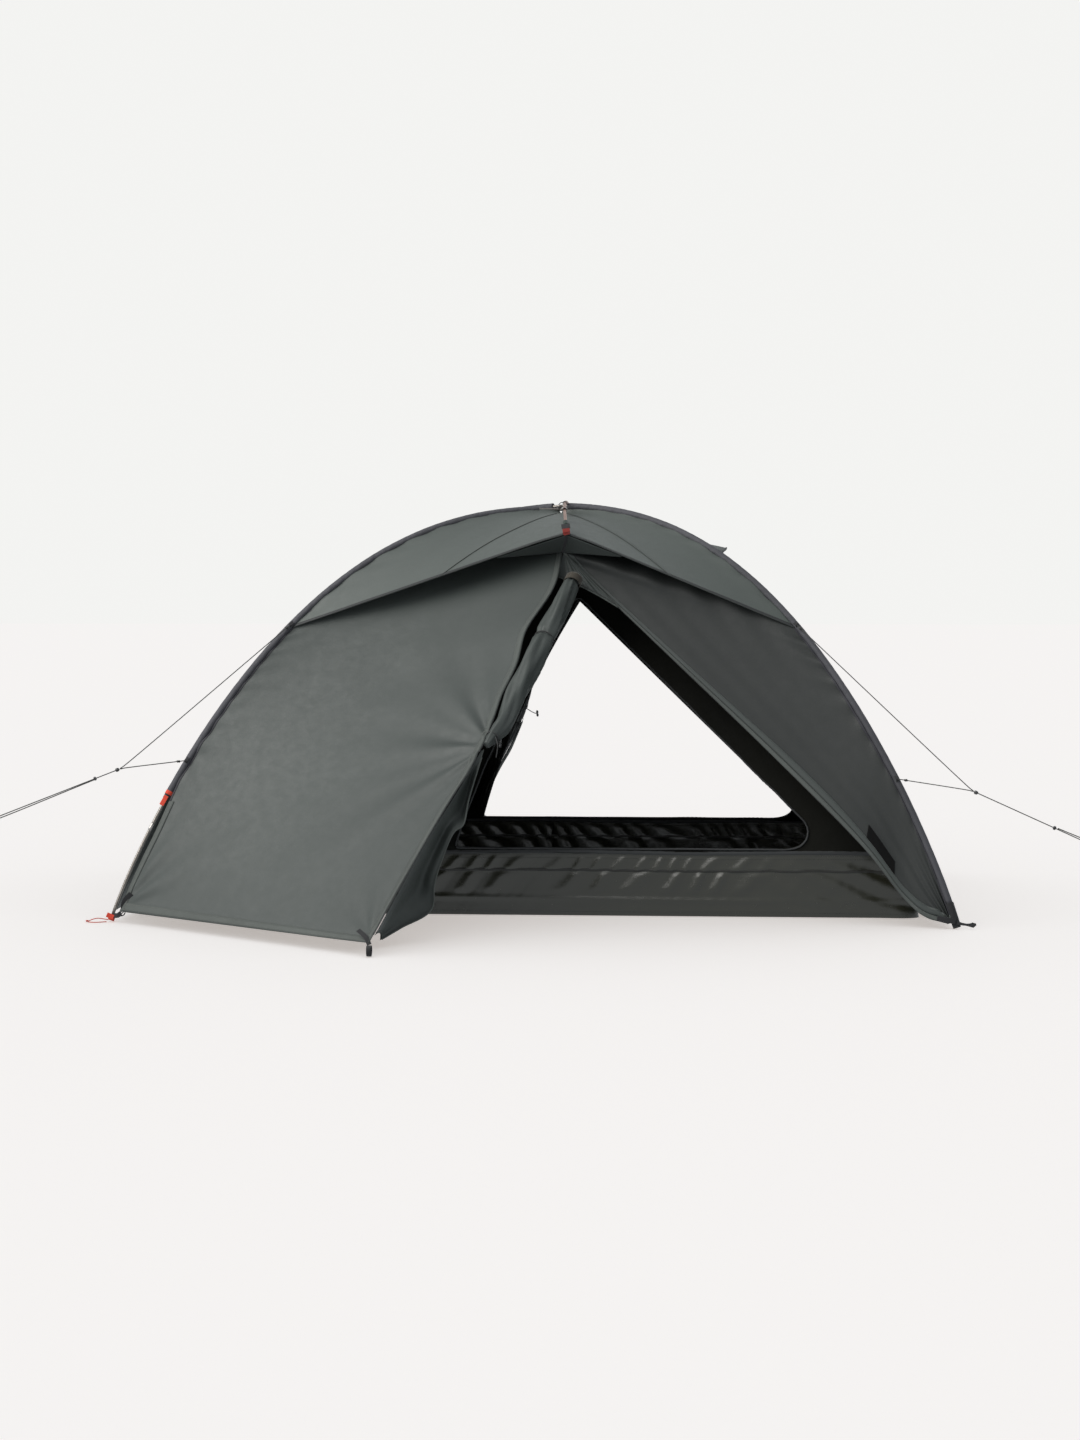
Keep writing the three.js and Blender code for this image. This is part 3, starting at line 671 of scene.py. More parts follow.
SLOTS = {"fly_fabric": (FLY, BROW_PAINTED_LIGHT, FLY_END, FLY_PAINTED_SHADE, FLY_TAPE, PIPING, VENT_MESH, THREAD, THREAD_DARK),
         "sleeve_fabric": (SLEEVE, SLEEVE_DARK), "tub_fabric": (TUB, TUB_IN), "inner_fabric": (INNER, MESH),
         "red_webbing": (RED_WEB, RED_STRAP, CORD_RED), "black_webbing": (BLACK_WEB, GREY_WEB, PATCH),
         "guy_cord": (CORD, CORD_DARK), "black_plastic": (ZIP_TEETH, PLASTIC, GLOSS_PLASTIC),
         "cap_rubber": (RUBBER,), "pole_grey": (GREY_TUBE, FERRULE), "pole_copper": (COPPER_TUBE,)}
SLOT_OF = {mat.name: slot for slot, mats in SLOTS.items() for mat in mats}


# ---- Camera and light -----------------------------------------------------------------------------
scene = bpy.context.scene
scene.view_settings.view_transform = "Standard"
scene.view_settings.look = "None"
camera = bpy.data.objects.new("camera", bpy.data.cameras.new("camera"))
scene.collection.objects.link(camera)
scene.camera = camera
camera.location = (0.4217, -6.9873, 0.8858)
camera.rotation_euler = (math.radians(90 - 3.05), 0, math.radians(3.55))
camera.data.sensor_fit = "VERTICAL"
camera.data.sensor_height = 36
camera.data.lens = 59.95
camera.data.clip_end = 200


def area_light(name, at, to, size, power, colour):
    light = bpy.data.objects.new(name, bpy.data.lights.new(name, "AREA"))
    light.data.size = size
    light.data.energy = power
    light.data.color = colour
    light.location = at
    light.rotation_euler = (Vector(to) - Vector(at)).to_track_quat("-Z", "Y").to_euler()
    scene.collection.objects.link(light)
    return light


PAPER = (0.900, 0.900, 0.884)
AMBIENT = 0.55
world = bpy.data.worlds.new("studio")
scene.world = world
world.use_nodes = True
tree = world.node_tree
backdrop = tree.nodes["Background"]
backdrop.inputs["Color"].default_value = (*PAPER, 1)
surround = tree.nodes.new("ShaderNodeBackground")
surround.inputs["Color"].default_value = (0.93, 0.97, 1.0, 1)
surround.inputs["Strength"].default_value = AMBIENT
rays = tree.nodes.new("ShaderNodeLightPath")
either = tree.nodes.new("ShaderNodeMixShader")
tree.links.new(rays.outputs["Is Camera Ray"], either.inputs[0])
tree.links.new(surround.outputs[0], either.inputs[1])
tree.links.new(backdrop.outputs[0], either.inputs[2])
tree.links.new(either.outputs[0], tree.nodes["World Output"].inputs["Surface"])

key = area_light("key", (-3.9, -2.9, 4.5), (-0.2, -0.3, 0.4), 5.5, 470, (1.0, 0.985, 0.955))
fill = area_light("fill", (4.5, 3.5, 3.5), (0.1, 0.1, 0.4), 4.0, 120, (0.95, 0.98, 1.0))

floor_mesh = bpy.data.meshes.new("floor")
floor_mesh.from_pydata([(-60, -60, 0), (60, -60, 0), (60, 60, 0), (-60, 60, 0)], [], [(0, 1, 2, 3)])
floor = bpy.data.objects.new("floor", floor_mesh)
scene.collection.objects.link(floor)
floor.location.z = -0.0006
FLOOR_GREY = 0.90
paper = Net("floor_paper", (FLOOR_GREY,) * 3, 0.95, spec=0.0)
fibre = paper.noise(paper.place, 60.0, 3.0)
paper.put("Base Color", paper.blend(fibre, (FLOOR_GREY * 0.99,) * 3 + (1,),
                                    (FLOOR_GREY * 1.01,) * 3 + (1,)))
paper.put("Emission Color", (0.455, 0.418, 0.393, 1))
paper.put("Emission Strength", 1.0)
floor_mesh.materials.append(paper.mat)
floor.visible_diffuse = False
floor.visible_glossy = False
unlit = bpy.data.collections.new("unlit_by_lamps")
unlit.objects.link(floor)
for lamp in (key, fill):
    lamp.light_linking.receiver_collection = unlit
unlit.collection_objects[0].light_linking.link_state = "EXCLUDE"


# ---- Guylines, the tent's cords -------------------------------------------------------------------
def cord_piece(name, points, mat):
    data = bpy.data.curves.new(name, "CURVE")
    data.dimensions = "3D"
    spline = data.splines.new("POLY")
    spline.points.add(len(points) - 1)
    for target, p in zip(spline.points, points):
        target.co = (*p, 1)
    data.bevel_depth = CORD_D / 2
    data.bevel_resolution = 3
    data.use_fill_caps = True
    data.materials.append(mat)
    obj = bpy.data.objects.new(name, data)
    scene.collection.objects.link(obj)
    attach(obj, MAIN)
    return obj


BRIDLE_HIGH, BRIDLE_LOW, RETURN_SPREAD = 0.612, {-1: 0.836, 1: 0.855}, 0.009
GUYS = {"left": (-1, (-1.074, -0.750, 0.421), (-1.372, -1.040, 0.299), 0.079, 0.89, 0.78),
        "right": (1, (1.155, -0.750, 0.373), (1.440, -1.010, 0.252), 0.260, 0.96, 0.54)}
guy_axes = {}


def guyline(side_name):
    side, joint, far, grip, bridle_length, line_length = GUYS[side_name]
    joint, far = vec(joint), vec(far)
    off = vec(side * 0.004, -0.012, -0.002)
    high = arch(side, -1, BRIDLE_HIGH, lift_of(side, -1)) + off
    low = arch(side, -1, BRIDLE_LOW[side], lift_of(side, -1)) + off
    way = unit(far - joint)
    aside = unit(np.cross(vec(0, 0, 1), way))
    over = np.cross(way, aside)

    def near(p):
        return joint + unit(p - joint) * 0.014

    def along(d, sideways=0.0):
        return joint + way * d + aside * sideways

    branch = curve([high, near(high), joint + way * 0.003, near(low), low])
    bridle_points = np.vstack([branch(np.linspace(0, 0.25, 12)), branch(np.linspace(0.27, 0.73, 14)),
                               branch(np.linspace(0.75, 1, 12))])
    bridle = cord_piece(f"guy_bridle_cord_{side_name}", bridle_points, CORD)
    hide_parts(f"guy_bridle_{side_name}")
    reach = float(np.linalg.norm(far - joint))
    route = curve([along(0.008), along(grip), along(reach - 0.040), along(reach - 0.012),
                   along(reach, RETURN_SPREAD), along(reach - 0.012, 2 * RETURN_SPREAD),
                   along(grip + 0.007, RETURN_SPREAD)])
    line_points = route(np.concatenate([np.linspace(0, 0.5, 10), np.linspace(0.53, 0.8, 16),
                                        np.linspace(0.82, 1, 10)]))
    line = cord_piece(f"guy_line_cord_{side_name}", line_points, CORD)
    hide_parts(f"guy_line_{side_name}")
    guy_axes[side_name] = (joint, way, aside, over, grip, high, low)


for side_name in GUYS:
    guyline(side_name)


# ---- Poles, sleeves and feet ----------------------------------------------------------------------
for end_name, end in ENDS.items():
    for side_name, side in SIDES.items():
        lift = lift_of(side, end)
        r = 0.0003 + (POLE_END - 0.0003) * np.linspace(0, 1, 150)
        pole = tube(f"pole_tube_{side_name}_{end_name}", arch(side, end, r, lift), POLE_R, GREY_TUBE,
                    sides=20)
        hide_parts(f"pole_{side_name}_{end_name}")
        for k, at in enumerate((0.36, 0.66, 0.915)):
            spot = at + np.linspace(-0.004, 0.004, 5)
            ring = tube(f"pole_joint_{side_name}_{end_name}_{k}", arch(side, end, spot, lift),
                        lambda s, a: POLE_R
                        + 0.0007 * np.sin(math.pi * np.clip(s * 1.04 - 0.02, 0, 1)) ** 0.3,
                        FERRULE, sides=20)

        # The sleeve: puckered cloth round the pole, with its seam allowance pulled into ridges.
        start = 0.02 if lift else 0.055
        r = np.linspace(start, SLEEVE_END[side], 330)
        path = arch(side, end, r, lift)
        run = np.linspace(0, 1, len(r)) * length(path)
        phase = 2.1 * side + 3.7 * end

        def puckers(s, a):
            d = s * run[-1]
            ridge = 0.45 * np.sin(d * 155 + 2.2 * np.sin(a + phase))
            ridge = ridge + 0.35 * np.sin(d * 263 + 1.7 * a + phase)
            swell = 0.5 * np.sin(d * 31 + phase) * np.cos(a - 0.7)
            seam = 0.0016 * np.exp(-((np.mod(a + math.pi, 2 * math.pi) - math.pi) / 0.28) ** 2)
            return SLEEVE_R + 0.00065 * (ridge + swell) * (0.4 + 0.6 * np.sin(a) ** 2) + seam

        axes = frames(path)
        sleeve = tube(f"sleeve_cloth_{side_name}_{end_name}", path, puckers, SLEEVE, sides=22, axes=axes,
                      thick=0.0007, cap=False)
        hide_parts(f"sleeve_{side_name}_{end_name}")


# ---- Fly ------------------------------------------------------------------------------------------
def arch_span(side, end, low, high):
    return lambda v: arch(side, end, low + (high - low) * np.asarray(v, float), CROSSING_LIFT / 2)


def loose_gap(low, high):
    """Left of the sleeve's end the cloth hangs off the bare pole."""
    return lambda v: PANEL_GAP + (0.024 - PANEL_GAP) * ease(v, low, high)


def zip_teeth(name, line):
    return beads(name, [line], ZIP_TEETH, pitch=0.0030, size=(0.0012, 0.0013))


def rows_of_stitches(surface, edge, insets, low, high, count):
    along = np.linspace(low, high, count)
    return [offset_line(surface, along, edge, inset, 0.0021) for inset in insets]


def fly_piece(node):
    if node:
        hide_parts(node)


# Brow: from the crossing over the short pole down to straight lower edges.
BROW_TOP = 0.006
brow_left, brow_right = arch_span(-1, -1, BROW_TOP, BROW_END), arch_span(1, -1, BROW_TOP, BROW_END)


def ridge(v):
    v = np.asarray(v, float)
    y = mix(-0.003, BROW_TIP[1], v)
    z = PEAK_Z - 0.012 - (PEAK_Z - 0.012 - BROW_TIP[2]) * v ** 1.6
    return np.stack([mix(PEAK_X, BROW_TIP[0], v), y, z], -1)


brow_a, brow_b = clear_of(brow_left, ridge, 0.0065), clear_of(brow_right, ridge, 0.0065)


def brow_flat(u, v):
    left, mid, right = brow_a(v), ridge(v), brow_b(v)
    u = np.asarray(u, float)[..., None]
    return np.where(u < 0.5, mix(left, mid, 2 * u), mix(mid, right, 2 * u - 1))


def brow_form(u, v):
    side = np.abs(2 * u - 1)
    free = np.sin(math.pi * np.clip(v, 0, 1)) ** 0.6
    sag = -0.010 * np.sin(math.pi * side) * free
    ridge_round = -0.004 * np.exp(-(side / 0.07) ** 2) * v
    tucks = 0.0026 * np.exp(-(1 - side) / 0.10) * np.sin(58 * v + 4 * u) * (0.3 + v) * free
    fan = 0.0022 * np.sin(30 * side + 5 * v) * np.exp(-(1 - v) / 0.25) * side * free
    slow = 0.0022 * ripple(5.5 * u, 4.5 * v, 2) * np.sin(math.pi * side) * free
    return sag + ridge_round + tucks + fan + slow


brow = shaped(brow_flat, brow_form)
for tag, turn, end in TURNED:
    surface = turn(brow)
    # The brow takes the lighter copy of the fly cloth: painted light.
    obj = cloth(f"brow_cloth_{tag}", surface, 120, 70, BROW_PAINTED_LIGHT)
    hem = band(f"brow_hem_{tag}", surface, "v1", 0.0, 0.011, 0.0011, PIPING, count=130)
    under = band(f"brow_hem_inside_{tag}", surface, "v1", 0.0, 0.011, -0.0011, PIPING, count=130)
    seams = []
    for u_low, u_high in ((0.27, 0.40), (0.60, 0.73)):
        t = np.linspace(0, 1, 90)
        u = mix(u_low, u_high, t) if u_low < 0.5 else mix(u_high, u_low, t)
        v = mix(0.995, 0.10, t)
        p = surface(u, v) + normals(surface, u, v) * (outward(surface) * 0.0011)
        seams.append(p)
    rows = [*seams, *(s + vec(0.0045, 0, 0.0005) for s in seams),
            offset_line(surface, None, "v1", 0.009, 0.0019, 140)]
    thread = beads(f"brow_stitches_{tag}", rows, THREAD_DARK)
    fold = strap(f"brow_seam_{tag}", seams[0], 0.006, FLY_TAPE, (-0.2, 0.1, 1), 0.0009)
    fold_b = strap(f"brow_seam_right_{tag}", seams[1], 0.006, FLY_TAPE, (0.2, 0.1, 1), 0.0009)
    fly_piece(f"brow_panel_{tag}")

# The small gusset under the brow's peak, with its dark strip.
brow_corner_left = brow(np.array(0.5 * 0.741), np.array(1.0))
brow_corner_right = brow(np.array(1 - 0.5 * 0.752), np.array(1.0))


def gusset(u, v):
    u = np.asarray(u, float)
    tip = brow(np.array(0.5), np.array(1.0)) + vec(0, 0.006, -0.004)
    a, b = brow_corner_left + vec(0, 0.006, -0.003), brow_corner_right + vec(0, 0.006, -0.003)
    left = u < 0.5
    k = np.where(left, 2 * u, 2 - 2 * u)[..., None]
    corner = np.where(left[..., None], a, b)
    top = mix(corner, tip, k)
    low = mix(corner, vec(JUNCTION) + vec(0, -0.004, -0.006), k)
    return mix(top, low, np.asarray(v, float)[..., None])


for tag, turn, end in TURNED:
    obj = cloth(f"gusset_cloth_{tag}", turn(lambda u, v: gusset(0.012 + 0.976 * np.asarray(u, float), v)),
                40, 12, FLY)
    strip = [turn(gusset)(np.array(0.5), np.array(v)) + vec(0, end * 0.0018, 0)
             for v in np.linspace(0.02, 1, 14)]
    tape = strap(f"gusset_strip_{tag}", strip, 0.010, BLACK_WEB, (0, end, 0))

# Vestibule: one panel from the left pole to its free edge.
edge_points = [UNDER_BROW, JUNCTION, *DOOR_EDGE[1:]]
straight_edge = curve(edge_points)


def door_edge(v):
    """The free edge, which the zip holds a little further right below the brow."""
    give = 0.021 * bump_at(v, 0.29, 0.09) + 0.014 * bump_at(v, 0.43, 0.08)
    return straight_edge(v) + give[..., None] * vec(1, 0, 0)


VEST_TOP, VEST_FOOT = 0.545, 0.992
vest_pole = arch_span(-1, -1, VEST_TOP, VEST_FOOT)
vest_gap = clear_of(vest_pole, door_edge, loose_gap(0.68, 0.86))
vest_flat = between(vest_gap, door_edge)


def vest_form(u, v):
    """Taut cloth: hollow between its edges, creased to the tie, the foot and the peg."""
    hollow = -0.020 * np.sin(math.pi * u) * np.sin(math.pi * np.clip(v * 1.02, 0, 1)) ** 0.8
    tie_v = 0.60
    du, dv = (1 - u) * 0.80, (v - tie_v) * 1.25
    dist = np.hypot(du, dv)
    angle = np.arctan2(dv, du + 0.02)
    rays = np.sin(9 * angle + 0.6) + 0.6 * np.sin(17 * angle + 1.1)
    tie = 0.0060 * rays * np.exp(-dist / 0.16) * ease(dist, 0.0, 0.05)
    du, dv = u * 0.85, (1 - v) * 1.05
    dist = np.hypot(du, dv)
    angle = np.arctan2(dv, du + 0.01)
    foot = 0.0055 * np.sin(11 * angle + 2.0) * np.exp(-dist / 0.20) * ease(dist, 0.0, 0.05)
    pucker = 0.0048 * np.exp(-u / 0.055) * (np.sin(60 * v + 3) * ease(v, 0.45, 0.7) + 0.35 * np.sin(97 * v))
    dist = np.hypot((1 - u) * 0.8, (1 - v) * 1.1)
    angle = np.arctan2(1 - v, 1.001 - u)
    peg = 0.0045 * np.sin(8 * angle) * np.exp(-dist / 0.2) * ease(dist, 0, 0.06)
    slow = 0.0042 * ripple(4.2 * u + 1.1 * v, 5.5 * v, 5) * np.sin(math.pi * u) ** 0.7
    soft = 0.0016 * ripple(15 * u, 19 * v, 8) * np.sin(math.pi * u)
    edge_curl = 0.003 * np.exp(-(1 - u) / 0.03) * np.sin(21 * v + 0.5)
    border = ease(u, 0, 0.05) * ease(1 - v, 0, 0.04)
    return hollow + tie + (foot + peg + slow + soft) * border + pucker * ease(0.74 - v, 0, 0.06) + edge_curl


vest = shaped(vest_flat, vest_form)
for tag, turn, end in TURNED:
    surface = turn(vest)
    obj = cloth(f"vestibule_cloth_{tag}", surface, 150, 190, FLY)
    low = np.linspace(0.17, 1, 170)
    facing = band(f"vestibule_edge_tape_{tag}", surface, "u1", 0.0, 0.016, 0.0013, FLY_TAPE, along=low)
    hem = band(f"vestibule_hem_{tag}", surface, "v1", 0.0, 0.017, 0.0013, FLY_TAPE, count=120)
    side_hem = band(f"vestibule_side_hem_{tag}", surface, "u0", 0.0, 0.017, 0.0013, FLY_TAPE,
                    along=np.linspace(0.76, 1, 60))
    seam = band(f"vestibule_pole_seam_{tag}", surface, "u0", 0.0, 0.0055, 0.0010, SLEEVE_DARK,
                along=np.linspace(0, 0.76, 150))
    inner_tape = band(f"vestibule_zip_tape_{tag}", surface, "u1", 0.002, 0.009, -0.0013, BLACK_WEB,
                      along=low)
    lines = rows_of_stitches(surface, "u1", (0.004, 0.013), 0.17, 1, 170)
    lines += rows_of_stitches(surface, "v1", (0.004, 0.014), 0.01, 0.99, 130)
    lines += rows_of_stitches(surface, "u0", (0.004, 0.014), 0.77, 0.99, 50)
    thread = beads(f"vestibule_stitches_{tag}", lines, THREAD)
    teeth_at = offset_line(surface, np.linspace(0.17, 0.985, 200), "u1", 0.0, -0.0012)
    teeth = zip_teeth(f"vestibule_zip_teeth_{tag}", teeth_at)
    fly_piece(f"vestibule_panel_{tag}")

# Right of the door: the panel between the right pole and the zip.
ZIP_PATH = [UNDER_BROW, JUNCTION, (0.098, -0.300, 0.966), (0.302, -0.362, 0.773), (0.640, -0.486, 0.453),
            (0.900, -0.590, 0.193), (0.994, -0.616, 0.074), (1.046, -0.634, 0.030), (1.106, -0.648, 0.013)]
zip_edge = curve(ZIP_PATH)
side_pole = arch_span(1, -1, VEST_TOP, 0.996)
side_flat = between(zip_edge, clear_of(side_pole, zip_edge, PANEL_GAP))


def side_form(u, v):
    hollow = -0.012 * np.sin(math.pi * u) * np.sin(math.pi * v)
    fan = 0.0035 * np.sin(34 * u + 9 * v) * np.exp(-v / 0.2)
    pucker = 0.0030 * np.exp(-(1 - u) / 0.06) * np.sin(85 * v) * ease(v, 0.05, 0.3)
    foot = 0.0032 * np.sin(26 * u + 14 * v) * np.exp(-(1 - v) / 0.14)
    slow = 0.0030 * ripple(3.1 * u, 6.5 * v, 4) * np.sin(math.pi * u)
    edge = 0.0016 * np.exp(-u / 0.04) * np.sin(47 * v)
    return hollow + fan + pucker + foot + slow + edge


door_side = shaped(side_flat, side_form)
for tag, turn, end in TURNED:
    surface = turn(door_side)
    # The door side panels take the darker copy of the fly cloth: painted shade.
    obj = cloth(f"door_side_cloth_{tag}", surface, 80, 190, FLY_PAINTED_SHADE)
    low = np.linspace(0.145, 1, 180)
    tape = band(f"door_side_tape_{tag}", surface, "u0", 0.0, 0.012, 0.0014, FLY_TAPE, along=low)
    tape_b = band(f"door_side_flap_{tag}", surface, "u0", 0.0135, 0.019, 0.0016, FLY, along=low)
    zip_tape = band(f"door_side_zip_tape_{tag}", surface, "u0", 0.0, 0.010, -0.0014, BLACK_WEB, along=low)
    hem = band(f"door_side_hem_{tag}", surface, "v1", 0.0, 0.014, 0.0013, FLY_TAPE, count=50)
    seam = band(f"door_side_pole_seam_{tag}", surface, "u1", 0.0, 0.0060, 0.0010, SLEEVE_DARK, count=160)
    lines = rows_of_stitches(surface, "u0", (0.0100, 0.0300), 0.145, 1, 180)
    lines += rows_of_stitches(surface, "v1", (0.011,), 0.03, 0.97, 30)
    thread = beads(f"door_side_stitches_{tag}", lines, THREAD)
    teeth_at = offset_line(surface, np.linspace(0.145, 0.99, 220), "u0", 0.0, -0.0012)
    teeth = zip_teeth(f"door_side_zip_teeth_{tag}", teeth_at)
    fly_piece(f"door_side_panel_{tag}")

# Ends: the panel over each end, open where its vent is.
def end_middle(side, r):
    pole = arch(side, -1, r)
    slope = mix(PEAK_X, side * END_HEM, (PEAK_Z - pole[..., 2]) / PEAK_Z)
    x = mix(slope, pole[..., 0], END_SHARE)
    return np.stack([x, np.zeros_like(x), np.maximum(pole[..., 2] * 0.985, 0.030)], -1)


END_TOP = 0.06


def end_surface(side):
    front, back = arch_span(side, -1, END_TOP, 0.992), arch_span(side, 1, END_TOP, 0.992)

    def middle(v):
        return end_middle(side, mix(END_TOP, 0.992, np.asarray(v, float)))

    gap = loose_gap(0.82, 0.92) if side < 0 else PANEL_GAP
    base = between(clear_of(front, middle, gap), clear_of(back, middle, gap), middle)

    def form(u, v):
        across = np.abs(2 * u - 1)
        pucker = 0.0036 * np.exp(-(1 - across) / 0.05) * np.sin(120 * v + 5 * u) * ease(v, 0.05, 0.2)
        slow = 0.0055 * ripple(5.0 * u, 6.0 * v, 6 + side) * np.sin(math.pi * u) ** 0.6 * ease(v, 0.30, 0.5)
        foot = 0.0050 * np.sin(22 * u + 18 * v) * np.exp(-(1 - v) / 0.14) * across
        hem = 0.0050 * np.sin(31 * u + 1.2) * np.exp(-(1 - v) / 0.05) * np.sin(math.pi * u)
        border = ease(1 - v, 0, 0.04)
        return (slow + foot) * border * ease(1 - across, 0, 0.04) + pucker * ease(0.80 - v, 0, 0.05) + hem
    return shaped(base, form)


def vent_outline(grow=0.0):
    t = np.linspace(0, math.pi, 25)
    w, h = VENT_W / 2 + grow, VENT_H + grow
    base = VENT_BASE - grow
    return [(-w * math.cos(a), base + h * math.sin(a)) for a in t]


for side_name, side in SIDES.items():
    surface = end_surface(side)
    reach = sorted((PEAK_X + side * 0.22, PEAK_X + side * 0.62))
    obj = applied(cloth(f"end_cloth_{side_name}", surface, 110, 150, FLY_END))
    boolean(obj, vent_outline(), reach, False, axis="X")
    inset = shaped(surface, lambda u, v: np.full(np.broadcast(u, v).shape, -0.0020))
    us, vs = np.linspace(0.2, 0.8, 60), np.linspace(0.1, 0.5, 60)
    net = applied(cloth(f"vent_mesh_{side_name}", inset, 0, 0, VENT_MESH, 0.0004, us=us, vs=vs))
    boolean(net, vent_outline(0.012), reach, True, axis="X")
    t = np.linspace(0, 2 * math.pi, 121)[:-1]
    rim = []
    for a in t:
        y = VENT_W / 2 * math.cos(a)
        z = VENT_BASE + (VENT_H * math.sin(a) if a < math.pi else 0)
        rim.append((y, z))
    grid_u, grid_v = np.meshgrid(np.linspace(0.1, 0.9, 160), np.linspace(0.05, 0.55, 160))
    cloud = surface(grid_u, grid_v).reshape(-1, 3)
    rim3 = []
    for y, z in rim:
        k = np.argmin((cloud[:, 1] - y) ** 2 + (cloud[:, 2] - z) ** 2)
        rim3.append((cloud[k, 0] + side * 0.0012, y, z))
    binding = tube(f"vent_binding_{side_name}", [*rim3, rim3[0]], 0.0022, PIPING, sides=8, cap=False)
    hem = band(f"end_hem_{side_name}", surface, "v1", 0.0, 0.017, 0.0013, FLY_TAPE, count=150)
    seams = [band(f"end_pole_seam_{side_name}_{e}", surface, e, 0.0, 0.0060, 0.0010, SLEEVE_DARK,
                  along=np.linspace(0, 0.985, 170))
             for e in ("u0", "u1")]
    lines = rows_of_stitches(surface, "v1", (0.004, 0.014), 0.01, 0.99, 170)
    thread = beads(f"end_stitches_{side_name}", lines, THREAD)
    fly_piece(f"end_panel_{side_name}")

# Vent hoods and their struts, each on its own body.
for side_name, side in SIDES.items():
    base = end_middle(side, np.array(VENT_AT)) + vec(side * 0.009, 0, 0.008)
    reach_to = base + vec(side * VENT_REACH, 0, -VENT_DROP)

    def hood(u, v, base=base, reach_to=reach_to, side=side):
        u, v = np.asarray(u, float), np.asarray(v, float)
        across = 2 * u - 1
        p = mix(base, reach_to, v[..., None])
        half = mix(VENT_W / 2 + 0.010, VENT_W / 2 - 0.030, v)
        x = p[..., 0] + side * mix(0.052, -0.030, v) * across ** 2
        z = p[..., 2] - mix(0.008, 0.034, v) * across ** 2
        z = z + 0.0035 * np.sin(math.pi * v) * (1 - across ** 2)
        z = z + 0.0010 * np.sin(23 * u + 3) * v
        return np.stack([x, across * half, z], -1)

    obj = cloth(f"vent_hood_cloth_{side_name}", hood, 60, 40, FLY, 0.0011, body=f"hood_{side_name}")
    wire = tube(f"vent_hood_rim_{side_name}", hood(np.linspace(0, 1, 60), np.full(60, 0.995)), 0.0026,
                PIPING, body=f"hood_{side_name}", sides=10)
    edge_lines = [hood(np.linspace(0.02, 0.98, 60), np.full(60, 0.93)) + vec(0, 0, 0.0011)]
    edge_lines += [hood(np.full(40, k), np.linspace(0.05, 0.95, 40)) + vec(0, 0, 0.0011)
                   for k in (0.03, 0.97)]
    thread = beads(f"vent_hood_stitches_{side_name}", edge_lines, THREAD, body=f"hood_{side_name}")
    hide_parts(f"vent_hood_{side_name}")
    low, high = (vec(*c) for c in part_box(f"vent_strut_{side_name}"))
    out_x, in_x = (low[0], high[0]) if side < 0 else (high[0], low[0])
    top = vec(out_x, 0, high[2]) + vec(-side * 0.0022, 0, -0.0022)
    foot = vec(in_x, 0, low[2]) + vec(side * 0.0022, 0, 0.0022)
    t = np.linspace(0, 1, 40)
    rod = tube(f"vent_strut_rod_{side_name}", segment(top, foot)(t),
               lambda s, a: 0.0027 + 0.0009 * np.exp(-(s / 0.06) ** 2)
               + 0.0009 * np.exp(-((1 - s) / 0.06) ** 2) - 0.0006 * bump_at(s, 0.5, 0.35),
               PLASTIC, body=f"strut_{side_name}", sides=16)
    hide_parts(f"vent_strut_{side_name}")


# ---- Brow pole, crossing and caps -----------------------------------------------------------------
lift_z = PEAK_Z + CROSSING_LIFT + 0.011
a = vec(BROW_TIP[0] - 0.004, BROW_TIP[1] + 0.030, BROW_TIP[2] + 0.026)
b = vec(PEAK_X, 0, 2 * lift_z - BROW_TIP[2] - 0.026)
c = a * vec(1, -1, 1)
t = np.linspace(0, 1, 90)[:, None]
brow_line = (1 - t) ** 2 * a + 2 * t * (1 - t) * b + t * t * c
brow_tube = tube("brow_pole_tube", brow_line, POLE_R, COPPER_TUBE, sides=20)
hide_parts("brow_pole")
for k, at in enumerate((30, 59)):
    ring = tube(f"brow_pole_joint_{k}", brow_line[at - 1:at + 2],
                lambda s, a: POLE_R + 0.0007 * (1 - (2 * s - 1) ** 4),
                FERRULE, sides=20)

